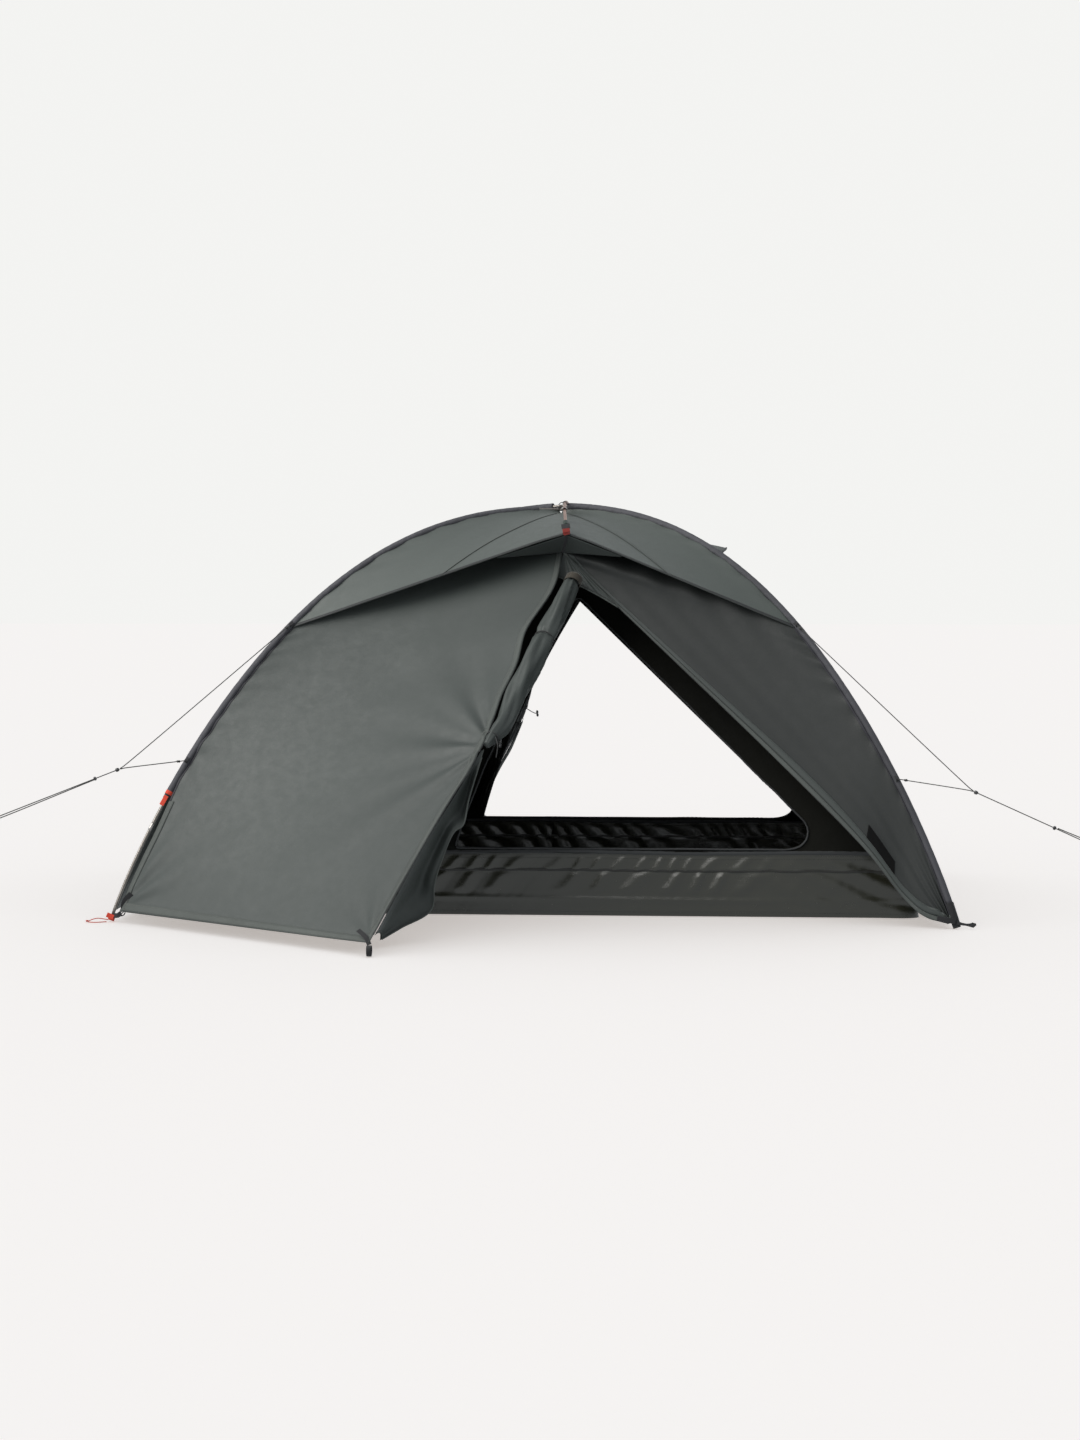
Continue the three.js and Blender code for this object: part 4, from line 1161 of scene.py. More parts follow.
for end_name, end in ENDS.items():
    tip = a if end < 0 else c
    way = unit(brow_line[0] - brow_line[3]) if end < 0 else unit(brow_line[-1] - brow_line[-4])
    t = np.linspace(0, 1, 40)
    cap = tube(f"brow_cap_cup_{end_name}", segment(tip - way * 0.007, tip + way * 0.0212)(t),
               lambda s, a: np.interp(s, [0, 0.03, 0.08, 0.5, 0.56, 0.62, 0.9, 0.97, 1],
                                      np.array([60, 70, 74, 77, 72, 79, 82, 76, 50]) * 1e-4)
               + 0.00012 * np.cos(10 * a) * (s < 0.5), RUBBER, sides=30)
    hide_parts(f"brow_cap_{end_name}")
    end_at = tip + way * 0.0205
    peak = vec(BROW_TIP[0], end * abs(BROW_TIP[1]), BROW_TIP[2] + 0.0015)
    route = curve([end_at + vec(-0.001, 0, 0.004), end_at + vec(0, end * 0.006, -0.002),
                   mix(end_at, peak, 0.6) + vec(0, end * 0.006, 0),
                   peak + vec(0, end * 0.004, -0.003), peak + vec(0, -end * 0.012, -0.001)])
    strap(f"brow_anchor_pocket_{end_name}", route(np.linspace(0, 0.47, 24)), 0.024, BLACK_WEB,
          (0.02, end, 0.15), 0.0022)
    strap(f"brow_anchor_{end_name}", route(np.linspace(0.44, 1, 40)), 0.020, RED_STRAP, (0.02, end, 0.15),
          0.0016)
    for k, share in enumerate((0.30, 0.62)):
        i = int(np.argmin(np.abs(brow_line[:, 1] - end * 0.385 * share)))
        p = brow_line[i]
        drop = max(p[2] - float(ridge(np.array((0.385 * share - 0.016) / 0.369))[2]) - 0.001, 0.006)
        loop = [p + vec(0.0062 * math.cos(q), 0, 0.0062 * math.sin(q))
                for q in np.linspace(-1.0, math.pi + 1.0, 26)]
        loop = [p + vec(0.0012, 0, -drop), *loop, p + vec(-0.0012, 0, -drop)]
        ribbon(f"brow_pole_loop_{end_name}_{k}", polyline(loop)(np.linspace(0, 1, 70)), (0, 1, 0), 0.012,
               BLACK_WEB)

low, high = (vec(*q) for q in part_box("crown_patch"))


def crown(u, v):
    x, y = 2 * np.asarray(u, float) - 1, 2 * np.asarray(v, float) - 1
    px, py = (x + y) / 2, (y - x) / 2
    dip = -0.006 * (np.abs(px) + np.abs(py)) ** 1.4 + 0.0008 * ripple(6 * px, 6 * py, 9)
    return np.stack([PEAK_X + 0.062 * px, 0.034 * py, np.full(px.shape, high[2]) + dip], -1)


patch = cloth("crown_patch_cloth", crown, 30, 30, SLEEVE)
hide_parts("crown_patch")
tie_points = []
for q in np.linspace(0, 2.6 * math.pi, 70):
    x = 0.0100 * math.cos(q)
    tie_z = lift_z - 0.008 + 0.0085 * math.sin(q + 0.5)
    tie_points.append((PEAK_X + x + 0.001 * math.sin(3 * q), 0.0085 * math.sin(q), tie_z))
tube("crossing_tie", tie_points, 0.0011, CORD_DARK, sides=10)


# ---- Rolled vestibule doors, their ties and hanging corners ---------------------------------------
FLAP_RIM = [(-0.108, -0.792, 0.478), (-0.141, -0.860, 0.357), (-0.153, -0.900, 0.291),
            (-0.174, -0.920, 0.275), (-0.202, -0.950, 0.209), (-0.219, -0.980, 0.146),
            (-0.225, -1.000, 0.085), (-0.295, -1.050, 0.046), (-0.342, -1.100, 0.022)]
DOOR_TOP = [(0.073, -0.302, 1.000), (0.230, -0.346, 0.842), (0.056, -0.327, 0.930)]
ROLL_GIRTH = {-1: 1.24, 1: 0.80}


def roll_line(v, end):
    """Beside the free edge at the front, and tucked in behind it at the rear."""
    v = np.asarray(v, float)
    if end < 0:
        beside = 0.064 - 0.032 * ease(v, 0.20, 0.85) - 0.022 * ease(v, 0.84, 1)
    else:
        beside = 0.008 - 0.045 * ease(v, 0.5, 1)
    within = np.full(v.shape, 0.022 if end < 0 else 0.034) * (1 - 0.7 * ease(v, 0.80, 1))
    return straight_edge(mix(0.266, 0.600, v)) + np.stack([beside, within, 0 * v], -1)


for end_name, end in ENDS.items():
    t = np.linspace(0, 1, 230)
    path = roll_line(t, end) * vec(1, -end, 1)

    def roll_radius(s, a, end=end):
        size = np.interp(s, [0, 0.05, 0.16, 0.30, 0.45, 0.70, 0.90, 0.965, 1.0],
                         np.array([120, 190, 235, 240, 250, 235, 190, 120, 80]) * 1e-4) * ROLL_GIRTH[end]
        a = -a if end > 0 else a
        twist = a + 3.2 * s
        overlap = 0.0032 * np.exp(-np.mod(twist + 0.6, 2 * math.pi) / 0.45)
        folds = 0.09 * np.sin(3 * twist + 7 * s) + 0.05 * np.sin(5 * a - 11 * s)
        folds = folds + 0.03 * np.sin(8 * a + 23 * s)
        pinch = 1 - 0.16 * bump_at(s, 0.345, 0.035) - 0.22 * bump_at(s, 0.03, 0.03)
        crush = 0.035 * np.sin(75 * s + 3 * np.sin(a)) * ease(s, 0.75, 1.0)
        r = size * pinch * (1 + folds + crush) + overlap
        return r * 1.0, r * 0.86

    roll = tube(f"rolled_door_cloth_{end_name}", path, roll_radius, FLY, sides=56, axes=frames(path))
    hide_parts(f"rolled_door_{end_name}")

    # The door's lower corner hangs open below the tie, hollow behind the edge, with its rim turned forward.
    behind = door_edge(np.linspace(0.612, 0.985, 60)) * vec(1, -end, 1) + vec(0.002, -end * 0.010, 0)
    behind = polyline(behind)
    rim = curve([(x, -end * y, z) for x, y, z in FLAP_RIM])
    reach = 1.0 if end < 0 else 0.15

    def flap(u, v, end=end, behind=behind, rim=rim, reach=reach):
        u, v = np.asarray(u, float), np.asarray(v, float)
        a, b = behind(v), rim(v)
        wide = np.linalg.norm(b - a, axis=-1) * reach
        p = mix(a, b, (u * reach)[..., None])
        hollow = wide * 0.60 * np.sin(math.pi * np.clip(u, 0, 1) ** 0.62) * ease(v, 0, 0.15)
        pleat = 0.0045 * np.sin(9 * u + 6 * v + 1) * ease(v, 0.05, 0.3)
        pleat = pleat + 0.0022 * np.sin(31 * v + 5 * u) * np.exp(-(1 - u) / 0.2)
        p = p + vec(0, -end, 0) * (hollow + pleat * ease(1 - v, 0, 0.05))[..., None]
        p[..., 2] = np.maximum(p[..., 2], 0.004)
        return p

    corner = cloth(f"door_corner_cloth_{end_name}", flap, 60, 150, FLY, 0.0009)
    edge_hem = tube(f"door_corner_hem_{end_name}", flap(np.full(120, 0.995), np.linspace(0.02, 0.99, 120)),
                    0.0022, FLY_TAPE, sides=8)
    low_hem = tube(f"door_corner_low_hem_{end_name}", flap(np.linspace(0.01, 0.99, 60), np.full(60, 0.99)),
                   0.0022, FLY_TAPE, sides=8)

    # The top of the door, drawn from the zip into the roll.
    tip_at, zip_at, roll_at = ((x, -end * y, z) for x, y, z in DOOR_TOP)

    def door_top(u, v, end=end, tip_at=tip_at, zip_at=zip_at, roll_at=roll_at):
        u, v = np.asarray(u, float), np.asarray(v, float)
        p = mix(vec(tip_at), mix(vec(roll_at), vec(zip_at), u[..., None]), v[..., None])
        p[..., 2] += 0.006 * np.sin(math.pi * u) * v ** 2
        p[..., 1] += end * (0.0022 * np.sin(17 * u + 5 * v) * v + 0.0012 * np.sin(41 * u) * v)
        return p

    top_cloth = cloth(f"door_top_cloth_{end_name}", door_top, 50, 40, FLY, 0.0009,
                      vs=np.linspace(0.04, 1, 41))
    top_hem = tube(f"door_top_hem_{end_name}", door_top(np.linspace(0.02, 0.98, 60), np.full(60, 1.0)),
                   0.0022, FLY_TAPE, sides=8)
    teeth_at = door_top(np.linspace(0.1, 0.98, 60), np.full(60, 0.93)) + vec(0, end * 0.002, 0)
    top_teeth = zip_teeth(f"door_top_teeth_{end_name}", teeth_at)

    # Ties round the roll: one at the top, one where the toggle is.
    def loop_round(at, radius, lean):
        i = int(at * (len(path) - 1))
        p, (fa, fb) = path[i], frames(path)
        q = np.linspace(0, 2 * math.pi, 50)
        shift = (np.sin(q) * lean)[:, None] * unit(path[i + 2] - path[i - 2])
        around = p + fa[i] * (radius * np.cos(q))[:, None]
        return around + fb[i] * (radius * 0.88 * np.sin(q))[:, None] + shift

    upper = loop_round(0.030, 0.0205 * ROLL_GIRTH[end], 0.004)
    axis_top = unit(path[40] - path[10])
    ribbon(f"roll_strap_{end_name}", upper, axis_top, 0.022, GREY_WEB)
    tube(f"roll_tie_cord_{end_name}", loop_round(0.345, 0.0235 * ROLL_GIRTH[end], 0.004), 0.0016, CORD_DARK,
         sides=8, cap=False)
    tube(f"tie_cord_{end_name}", loop_round(0.955, 0.0140 * ROLL_GIRTH[end], 0.003), 0.0015, CORD_DARK,
         sides=8, cap=False)
    tail = curve([path[-12] + vec(0.010, end * 0.014, 0.0), path[-12] + vec(0.016, end * 0.022, -0.020),
                  path[-12] + vec(0.012, end * 0.020, -0.052)])
    tube(f"tie_tail_{end_name}", tail(np.linspace(0, 1, 30)), 0.0014, CORD_DARK, sides=8)

    # The toggle turns on its own body. It replaces the CAD peg in its place.
    mid = cad_middle(f"door_toggle_{end_name}")
    lean = unit(vec(0, end * math.cos(0.6), -math.sin(0.6)))
    t = np.linspace(0, 1, 36)
    toggle = tube(f"door_toggle_peg_{end_name}", segment(mid - lean * 0.0165, mid + lean * 0.0165)(t),
                  lambda s, a: 0.0038 - 0.0013 * bump_at(s, 0.5, 0.2) - 0.0018 * np.abs(2 * s - 1) ** 8,
                  PLASTIC, body=f"toggle_{end_name}", sides=18)
    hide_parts(f"door_toggle_{end_name}")
    hold = curve([mid + vec(-0.001, 0, 0.0), mid + vec(-0.010, -end * 0.004, 0.002),
                  path[-20] + vec(0.010, 0, 0.002)])
    tube(f"toggle_cord_{end_name}", hold(np.linspace(0, 1, 24)), 0.0013, CORD_DARK, sides=8)

    # Zip slider with its puller, on its own body.
    mid = cad_middle(f"fly_zip_slider_{end_name}")
    way = unit(vec(*ZIP_FOOT) - vec(*ZIP_TOP)) * vec(1, -end, 1)
    across = unit(np.cross(vec(0, end, 0), way))
    out = unit(np.cross(across, way))
    out = out if out[1] * end > 0 else -out
    t = np.linspace(0, 1, 30)
    slider = tube(f"zip_slider_body_{end_name}", segment(mid - way * 0.0095, mid + way * 0.0095)(t),
                  lambda s, a: (0.0046 * (1 - 0.35 * np.abs(2 * s - 1) ** 3) + 0 * a,
                                0.0026 * (1 - 0.5 * np.abs(2 * s - 1) ** 4) + 0 * a),
                  ZIP_TEETH, body=f"zip_{end_name}", sides=18, axes=(across, out))
    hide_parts(f"fly_zip_slider_{end_name}")
    pull = curve([mid + way * 0.004 + out * 0.003, mid + way * 0.012 + out * 0.006,
                  mid + way * 0.026 + out * 0.0045 + vec(0, 0, -0.004)])
    tube(f"zip_puller_{end_name}", pull(np.linspace(0, 1, 24)),
         lambda s, a: 0.0012 + 0.0007 * ease(s, 0.6, 0.9), CORD_RED, body=f"zip_{end_name}", sides=10)


# ---- Feet: eyes, hooks, pockets, tabs and the peg loops -------------------------------------------
def strapped(name, points, width, mat, face):
    """A strap along a spline through the points."""
    return strap(name, curve(points)(np.linspace(0, 1, 40)), width, mat, face)


def knot(name, centre, size, mat):
    """A small overhand knot: a cord wound through itself."""
    q = np.linspace(0, 2 * math.pi, 90)
    p = np.stack([np.sin(q) + 1.7 * np.sin(2 * q), np.cos(q) - 1.7 * np.cos(2 * q), -1.2 * np.sin(3 * q)],
                 -1)
    return tube(name, vec(centre) + p * size * 0.36, size * 0.36, mat, sides=10, cap=False)


for end_name, end in ENDS.items():
    for side_name, side in SIDES.items():
        foot = arch(side, end, POLE_END)
        way = unit(arch(side, end, POLE_END) - arch(side, end, POLE_END - 0.01))
        t = np.linspace(0, 1, 24)
        tip = tube(f"pole_tip_plug_{side_name}_{end_name}",
                   segment(foot - way * 0.004, foot + way * 0.0094)(t),
                   lambda s, a: 0.0036 + 0.0010 * (s < 0.35) - 0.0022 * np.abs(s) ** 9, PLASTIC, sides=20)
        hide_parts(f"pole_tip_{side_name}_{end_name}")
        low_end = foot + way * 0.0109
        across = unit(np.cross(way, vec(0, end, 0)))
        face = unit(np.cross(across, way))
        face = face if face[1] * end > 0 else -face
        if side < 0:
            # A ring of red webbing round the pole tip, sewn to a flat tail.
            ring = circle(low_end - way * 0.0075, across, face, 0.0079, 60)
            eye = ribbon(f"foot_eye_web_{end_name}", ring, way, 0.0145, RED_WEB, 0.0018)
            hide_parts(f"foot_eye_left_{end_name}")
            p0 = low_end - way * 0.010 + face * 0.0092
            strapped(f"foot_eye_tail_{end_name}",
                     [p0 - across * 0.006, p0 + across * 0.004 + vec(0, 0, 0.001),
                      p0 + across * 0.013 + vec(0, end * 0.001, 0.002)],
                            0.013, RED_WEB, face)
            # Black webbing from the fly's corner to the hook and on to the foot.
            corner = vest(np.array(0.0), np.array(0.995)) * vec(1, -end, 1)
            out = vec(0, end * 0.003, 0.002)
            hook_mid = cad_middle(f"corner_hook_left_{end_name}")
            strapped(f"corner_web_{end_name}",
                     [corner + vec(0.030, end * 0.004, 0.040) + out, corner + vec(0.010, 0, 0.016) + out,
                      hook_mid + vec(0.003, end * 0.004, 0.004)],
                     0.015, BLACK_WEB, (0.3, end, 0.2))
            strapped(f"corner_web_tail_{end_name}",
                     [hook_mid + vec(-0.004, end * 0.004, 0.0), hook_mid + vec(-0.013, end * 0.004, -0.006),
                      foot + vec(0.004, end * 0.007, 0.004)],
                     0.013, BLACK_WEB, (0.3, end, 0.2))
            q = np.linspace(0, 1.72 * math.pi, 60)
            turn = vec(0.62, 0, 0.78)
            shape = [hook_mid + vec(math.cos(-0.9), 0, -math.sin(-0.9)) * (0.0085 * math.cos(k))
                     + vec(0, end, 0) * 0.0005
                     + vec(math.sin(-0.9), 0, math.cos(-0.9)) * (0.0055 * math.sin(k)) for k in q]
            hook = tube(f"corner_hook_bar_{end_name}", shape, 0.0016, PLASTIC, sides=12)
            tube(f"corner_hook_cross_{end_name}",
                 [shape[0], mix(shape[0], hook_mid, 0.5) + vec(0, end * 0.001, 0), shape[30]], 0.0014,
                 PLASTIC, sides=10)
            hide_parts(f"corner_hook_left_{end_name}")
            # A thin pink cord from the webbing back to the corner, with its knot.
            k0 = low_end + across * 0.006 + face * 0.008
            loop = curve([k0, k0 + vec(-0.030, end * 0.006, 0.004), k0 + vec(-0.052, end * 0.014, -0.004),
                          k0 + vec(-0.030, end * 0.024, -0.006), k0 + vec(-0.002, end * 0.010, -0.005)])
            pts = loop(np.linspace(0, 1, 70))
            pts[:, 2] = np.maximum(pts[:, 2], 0.002)
            tube(f"foot_cord_loop_{end_name}", pts, 0.0012, CORD_RED, sides=8)
            end_knot = pts[35] + vec(-0.002, 0, 0.002)
            knot(f"foot_cord_knot_{end_name}", (end_knot[0], end_knot[1], max(end_knot[2], 0.004)), 0.0032,
                 CORD_RED)
            # Where the sleeve ends: a folded red tab on its own body, over a black slit.
            r_end = SLEEVE_END[side]
            at_end = arch(-1, end, r_end)
            run = unit(arch(-1, end, r_end) - arch(-1, end, r_end - 0.01))
            tab_mid = cad_middle(f"pull_tab_left_{end_name}")
            tab_across = unit(vec(1, 0, 0) - run * run[0])
            tab_face = unit(np.cross(tab_across, run))
            tab_face = tab_face if tab_face[1] * end > 0 or tab_face[0] < 0 else -tab_face
            p = [tab_mid - run * 0.0145, tab_mid - run * 0.005 + tab_face * 0.0006, tab_mid + run * 0.006,
                 tab_mid + run * 0.0145]
            tab = strap(f"pull_tab_web_{end_name}", curve(p)(np.linspace(0, 1, 30)), 0.0125, RED_WEB,
                        tab_face, 0.0015, body=f"tab_{end_name}")
            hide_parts(f"pull_tab_left_{end_name}")
            cuff = circle(at_end - run * 0.007, tab_across, unit(np.cross(tab_across, run)), 0.0098, 50)
            ribbon(f"sleeve_cuff_{end_name}", cuff, run, 0.011, RED_WEB, 0.0014)
            slit = circle(at_end + run * 0.003, tab_across, unit(np.cross(tab_across, run)), 0.0088, 50)
            ribbon(f"sleeve_mouth_{end_name}", slit, run, 0.016, BLACK_WEB, 0.0012)
        else:
            t = np.linspace(0, 1, 50)
            pocket = tube(f"foot_pocket_web_{end_name}",
                          segment(low_end - way * 0.0680, low_end + way * 0.0006)(t),
                          lambda s, a: (0.0106 + 0.0010 * np.cos(2 * a) * s - 0.0016 * np.abs(s) ** 8
                                        + 0.0003 * np.sin(160 * s), 0.0088 + 0.0002 * np.sin(160 * s)
                                        - 0.0014 * np.abs(s) ** 8),
                          BLACK_WEB, sides=26, axes=(across, face))
            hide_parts(f"foot_pocket_right_{end_name}")
            base = low_end - way * 0.012
            strapped(f"foot_web_tail_{end_name}",
                     [base - across * 0.002 * side + face * 0.0105, base + vec(0.018, end * 0.010, -0.001),
                      base + vec(0.040, end * 0.012, -0.003), base + vec(0.052, end * 0.012, -0.001)],
                     np.interp(np.linspace(0, 1, 40), [0, 0.45, 0.55, 0.75, 1],
                               [0.010, 0.006, 0.008, 0.015, 0.005]), BLACK_WEB, (0.1, end, 0.5))
            strapped(f"foot_hem_web_{end_name}",
                     [base + vec(-0.050, end * 0.010, 0.014), base + vec(-0.024, end * 0.012, 0.010),
                      base + vec(-0.002, end * 0.011, 0.006)],
                     0.014, BLACK_WEB, (0, end, 0.2))

    # The peg loop at the vestibule's front corner.
    mid = cad_middle(f"peg_loop_{end_name}")
    q = np.linspace(0.0, 2 * math.pi, 80)
    ring = [mid + vec(0, 0.0128 * math.cos(k), 0.0128 * math.sin(k) + 0.0006 * math.cos(2 * k)) for k in q]
    loop = ribbon(f"peg_webbing_{end_name}", ring, (1, 0, 0), 0.0118, BLACK_WEB, 0.0017)
    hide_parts(f"peg_loop_{end_name}")
    corner = vest(np.array(0.995), np.array(0.995)) * vec(1, -end, 1)
    strapped(f"peg_web_top_{end_name}",
             [corner + vec(-0.030, -end * 0.020, 0.022), corner + vec(-0.008, -end * 0.004, 0.006)
              + vec(0, end * 0.002, 0), mid + vec(0, -end * 0.004, 0.0140)],
             0.0118, BLACK_WEB, (0.2, end, 0.6))

# The plain woven patch beside the zip, above the right foot: nothing is written on it.
PATCH_INSET, PATCH_WIDTH, PATCH_SPAN = 0.049, 0.036, (0.900, 0.969)
steps = np.linspace(0.50, 0.99, 260)
centre_x = offset_line(door_side, steps, "u0", PATCH_INSET, 0.0)[:, 0]
low_v, high_v = (steps[np.argmin(np.abs(centre_x - x))] for x in PATCH_SPAN)
run = np.linspace(low_v, high_v, 50)
rows = np.stack([offset_line(door_side, run, "u0", PATCH_INSET + PATCH_WIDTH * k, 0.0021)
                 for k in np.linspace(-0.5, 0.5, 14)], 1)
patch = new_object("blank_side_patch", rows.reshape(-1, 3), grid_faces(13, 49),
                   flat_uv(rows).reshape(-1, 2), PATCH)
thicken(patch, 0.0009)


# ---- Guyline hardware, knots and the rear's spare loops -------------------------------------------
for side_name, (joint, way, aside, over, grip, high, low) in guy_axes.items():
    side = SIDES[side_name]
    t = np.linspace(0, 1, 50)
    cleat = tube(f"guy_cleat_body_{side_name}", segment(joint + way * 0.0072, joint + way * 0.0158)(t),
                 lambda s, a: 0.0049 - 0.0011 * np.abs(2 * s - 1) ** 3 + 0.00035 * np.cos(3 * a),
                 GLOSS_PLASTIC, sides=28, axes=(aside, over))
    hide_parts(f"guy_cleat_{side_name}")
    centre = joint + way * (grip + 0.0025)
    ring = circle(centre, aside, over, 0.0039, 70)
    tensioner = tube(f"guy_tensioner_body_{side_name}", ring, lambda s, a: (0.0024 + 0 * a, 0.0014 + 0 * a),
                     GLOSS_PLASTIC,
                     body=f"tensioner_{side_name}", sides=14, cap=False,
                     axes=(way, circle(0, aside, over, 1, 70)))
    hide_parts(f"guy_tensioner_{side_name}")
    knot(f"guy_knot_high_{side_name}", high + unit(joint - high) * 0.016, 0.0042, CORD)
    knot(f"guy_knot_low_{side_name}", low + unit(joint - low) * 0.030, 0.0042, CORD)
    for tag, r, start in (("high", BRIDLE_HIGH, high), ("low", BRIDLE_LOW[side], low)):
        base = arch(side, -1, np.array(r), lift_of(side, -1))
        run = unit(arch(side, -1, r + 0.01) - arch(side, -1, r - 0.01))
        out = unit(start - base)
        loop = curve([base + run * 0.012 + out * 0.004, base + run * 0.006 + out * 0.011,
                      start + out * 0.002,
                      base - run * 0.006 + out * 0.011, base - run * 0.012 + out * 0.004])
        ribbon(f"guy_loop_{tag}_{side_name}", loop(np.linspace(0, 1, 30)), unit(np.cross(run, out)), 0.010,
               BLACK_WEB, 0.0011)
        for_rear = loop(np.linspace(0, 1, 30)) * vec(1, -1, 1)
        ribbon(f"guy_loop_{tag}_{side_name}_rear", for_rear, unit(np.cross(run, out)) * vec(1, -1, 1),
               0.010, BLACK_WEB, 0.0011)


# ---- Inner tent -----------------------------------------------------------------------------------
def tub_outline(s, inset=0.0):
    """A rounded rectangle, run from 0 to 1 against the clock, starting at the middle of the front."""
    corner = TUB_CORNER - inset
    x, y = TUB_L / 2 - inset - corner, TUB_W / 2 - inset - corner
    arc = math.pi * corner / 2
    parts = [(x, None), (arc, (x, -y, -0.5)), (2 * y, None), (arc, (x, y, 0)), (2 * x, None),
             (arc, (-x, y, 0.5)),
             (2 * y, None), (arc, (-x, -y, 1.0)), (x, None)]
    starts = [(0, -y - corner, 1, 0), None, (x + corner, -y, 0, 1), None, (x, y + corner, -1, 0), None,
              (-x - corner, y, 0, -1),
              None, (-x, -y - corner, 1, 0)]
    total = sum(p[0] for p in parts)
    d = np.mod(np.asarray(s, float), 1.0) * total
    out, way = np.zeros(d.shape + (2,)), 0.0
    for (size, bend), start in zip(parts, starts):
        here = (d >= way) & (d <= way + size + 1e-9)
        k = d - way
        if bend is None:
            px, py = start[0] + start[2] * k, start[1] + start[3] * k
        else:
            a = bend[2] * math.pi + k / corner
            px, py = bend[0] + corner * np.cos(a), bend[1] + corner * np.sin(a)
        out[..., 0] = np.where(here, px, out[..., 0])
        out[..., 1] = np.where(here, py, out[..., 1])
        way += size
    return out


def tub_wall(s, h):
    """The wall over its run s, from the middle of the rear, and its height h from 0 to 1."""
    s, h = np.asarray(s, float), np.asarray(h, float)
    xy = tub_outline(s + 0.5)
    out = unit(np.concatenate([xy * vec(0.25, 1.0), np.zeros(xy.shape[:-1] + (1,))], -1))[..., :2]
    turn = 2 * math.pi * s
    cx, cy = 0.92 * np.cos(turn), 0.92 * np.sin(turn)
    sag = 0.0075 * ripple(cx * 3.4 + h, cy * 3.4 - h, 3)
    here = 0.85 + 0.35 * ripple(cx * 9, cy * 9, 5)
    upper = ease(h, 0.68, 0.76) * ease(1 - h, 0.04, 0.12)
    short = (0.5 + 0.5 * np.sin(97 * turn - 14 * h + 3.2 * np.sin(9 * turn) + 1.3 * np.sin(23 * turn))) ** 2
    lower = ease(h, 0.30, 0.46) * ease(0.73 - h, 0, 0.10)
    long = (0.5 + 0.5 * np.sin(59 * turn - 9 * h + 3.0 * np.sin(7 * turn) + 1.4 * np.sin(19 * turn))) ** 2
    far = ease(np.abs(xy[..., 0]), 0.50, 0.78)
    drawn = 0.0034 * np.sin(46 * np.abs(xy[..., 0]) + 15 * h + 2 * h * h)
    drawn = drawn * ease(h, 0.04, 0.2) * ease(1 - h, 0.02, 0.3)
    fold = 0.0052 * np.exp(-((h - 0.27 - 0.02 * np.sin(3 * turn)) / 0.035) ** 2) * (1 - 0.6 * far)
    fine = 0.0011 * ripple(cx * 60, cy * 60 + h * 9, 7)
    wrinkles = (0.0060 * short * upper + 0.0085 * long * lower) * here * (1 - 0.75 * far) + drawn * far
    push = (sag + fine) * np.sin(math.pi * np.clip(h, 0, 1)) ** 0.8 + wrinkles + fold - 0.006
    z = TUB_H * h + 0.0018 * np.sin(8 * turn + 1) * h ** 3 + 0.0009
    flare = ease(np.abs(xy), (0.93, 0.36), (1.02, 0.44)).prod(axis=-1) * (1 - h) ** 1.2
    xy = xy + np.sign(xy) * vec(0.030, 0.010) * flare[..., None]
    return np.concatenate([xy + out * push[..., None], z[..., None]], -1)


us, vs = np.linspace(0, 1, 1240), np.linspace(0, 1, 42)
tub = cloth("tub_wall_cloth", tub_wall, 0, 0, TUB, 0.0008, us=us, vs=vs)
gx, gy = np.meshgrid(np.linspace(-1, 1, 150), np.linspace(-1, 1, 70))
half_x, half_y = TUB_L / 2 - 0.007, TUB_W / 2 - 0.007
cx = np.clip(np.abs(gx) * half_x - (half_x - TUB_CORNER), 0, None)
cy = np.clip(np.abs(gy) * half_y - (half_y - TUB_CORNER), 0, None)
over = np.maximum(np.hypot(cx, cy) / TUB_CORNER, 1.0)
fx = np.sign(gx) * (np.abs(gx) * half_x - cx + cx / over)
fy = np.sign(gy) * (np.abs(gy) * half_y - cy + cy / over)
inside = np.clip(np.minimum(half_x - np.abs(fx), half_y - np.abs(fy)) / 0.08, 0, 1)
fz = 0.0024 + 0.0030 * inside * (0.5 + 0.5 * ripple(fx * 9, fy * 11, 4))
fz = fz + 0.0012 * inside * (0.5 + 0.5 * ripple(fx * 31, fy * 29, 6))
points = np.stack([fx, fy, fz], -1)
tub_base = new_object("tub_base_cloth", points.reshape(-1, 3), grid_faces(149, 69),
                      flat_uv(points).reshape(-1, 2), TUB_IN)
thicken(tub_base, 0.0008)
ring = np.linspace(0, 1, 480)
top_line = tub_wall(ring, np.full(480, 1.0))
out2 = unit(top_line * vec(0.3, 1, 0))
binding = tube("tub_binding", top_line, lambda s, a: (0.0056 + 0.0005 * np.sin(s * 1900), 0.0022 + 0 * a),
               PIPING, sides=12, cap=False,
               axes=(vec(0, 0, 1), unit(np.cross(unit(np.gradient(top_line, axis=0)), vec(0, 0, 1)))))
rows = []
for h in (0.955, 0.905, 0.725, 0.705, 0.06):
    p = tub_wall(ring, np.full(480, h))
    rows.append(p + out2 * 0.0010)
tub_thread = beads("tub_stitches", rows, THREAD_DARK, pitch=0.0046, size=(0.0016, 0.00045))
seam_line = tub_wall(ring, np.full(480, 0.72))
tub_seam = tube("tub_taped_seam", seam_line + out2 * 0.0002, lambda s, a: (0.0045 + 0 * a, 0.0010 + 0 * a),
                TUB_IN, sides=10, cap=False,
                axes=(vec(0, 0, 1), unit(np.cross(unit(np.gradient(seam_line, axis=0)), vec(0, 0, 1)))))
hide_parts("tub_floor")


def inner_edge(side, end):
    def at(v):
        v = np.asarray(v, float)
        p = arch(side, end, INNER_START + (INNER_END - INNER_START) * v) * vec(*INNER_SHARE, 1)
        p = p - vec(0, 0, INNER_DROP)
        p[..., 2] = np.maximum(p[..., 2], TUB_H + 0.001)
        return p
    return at


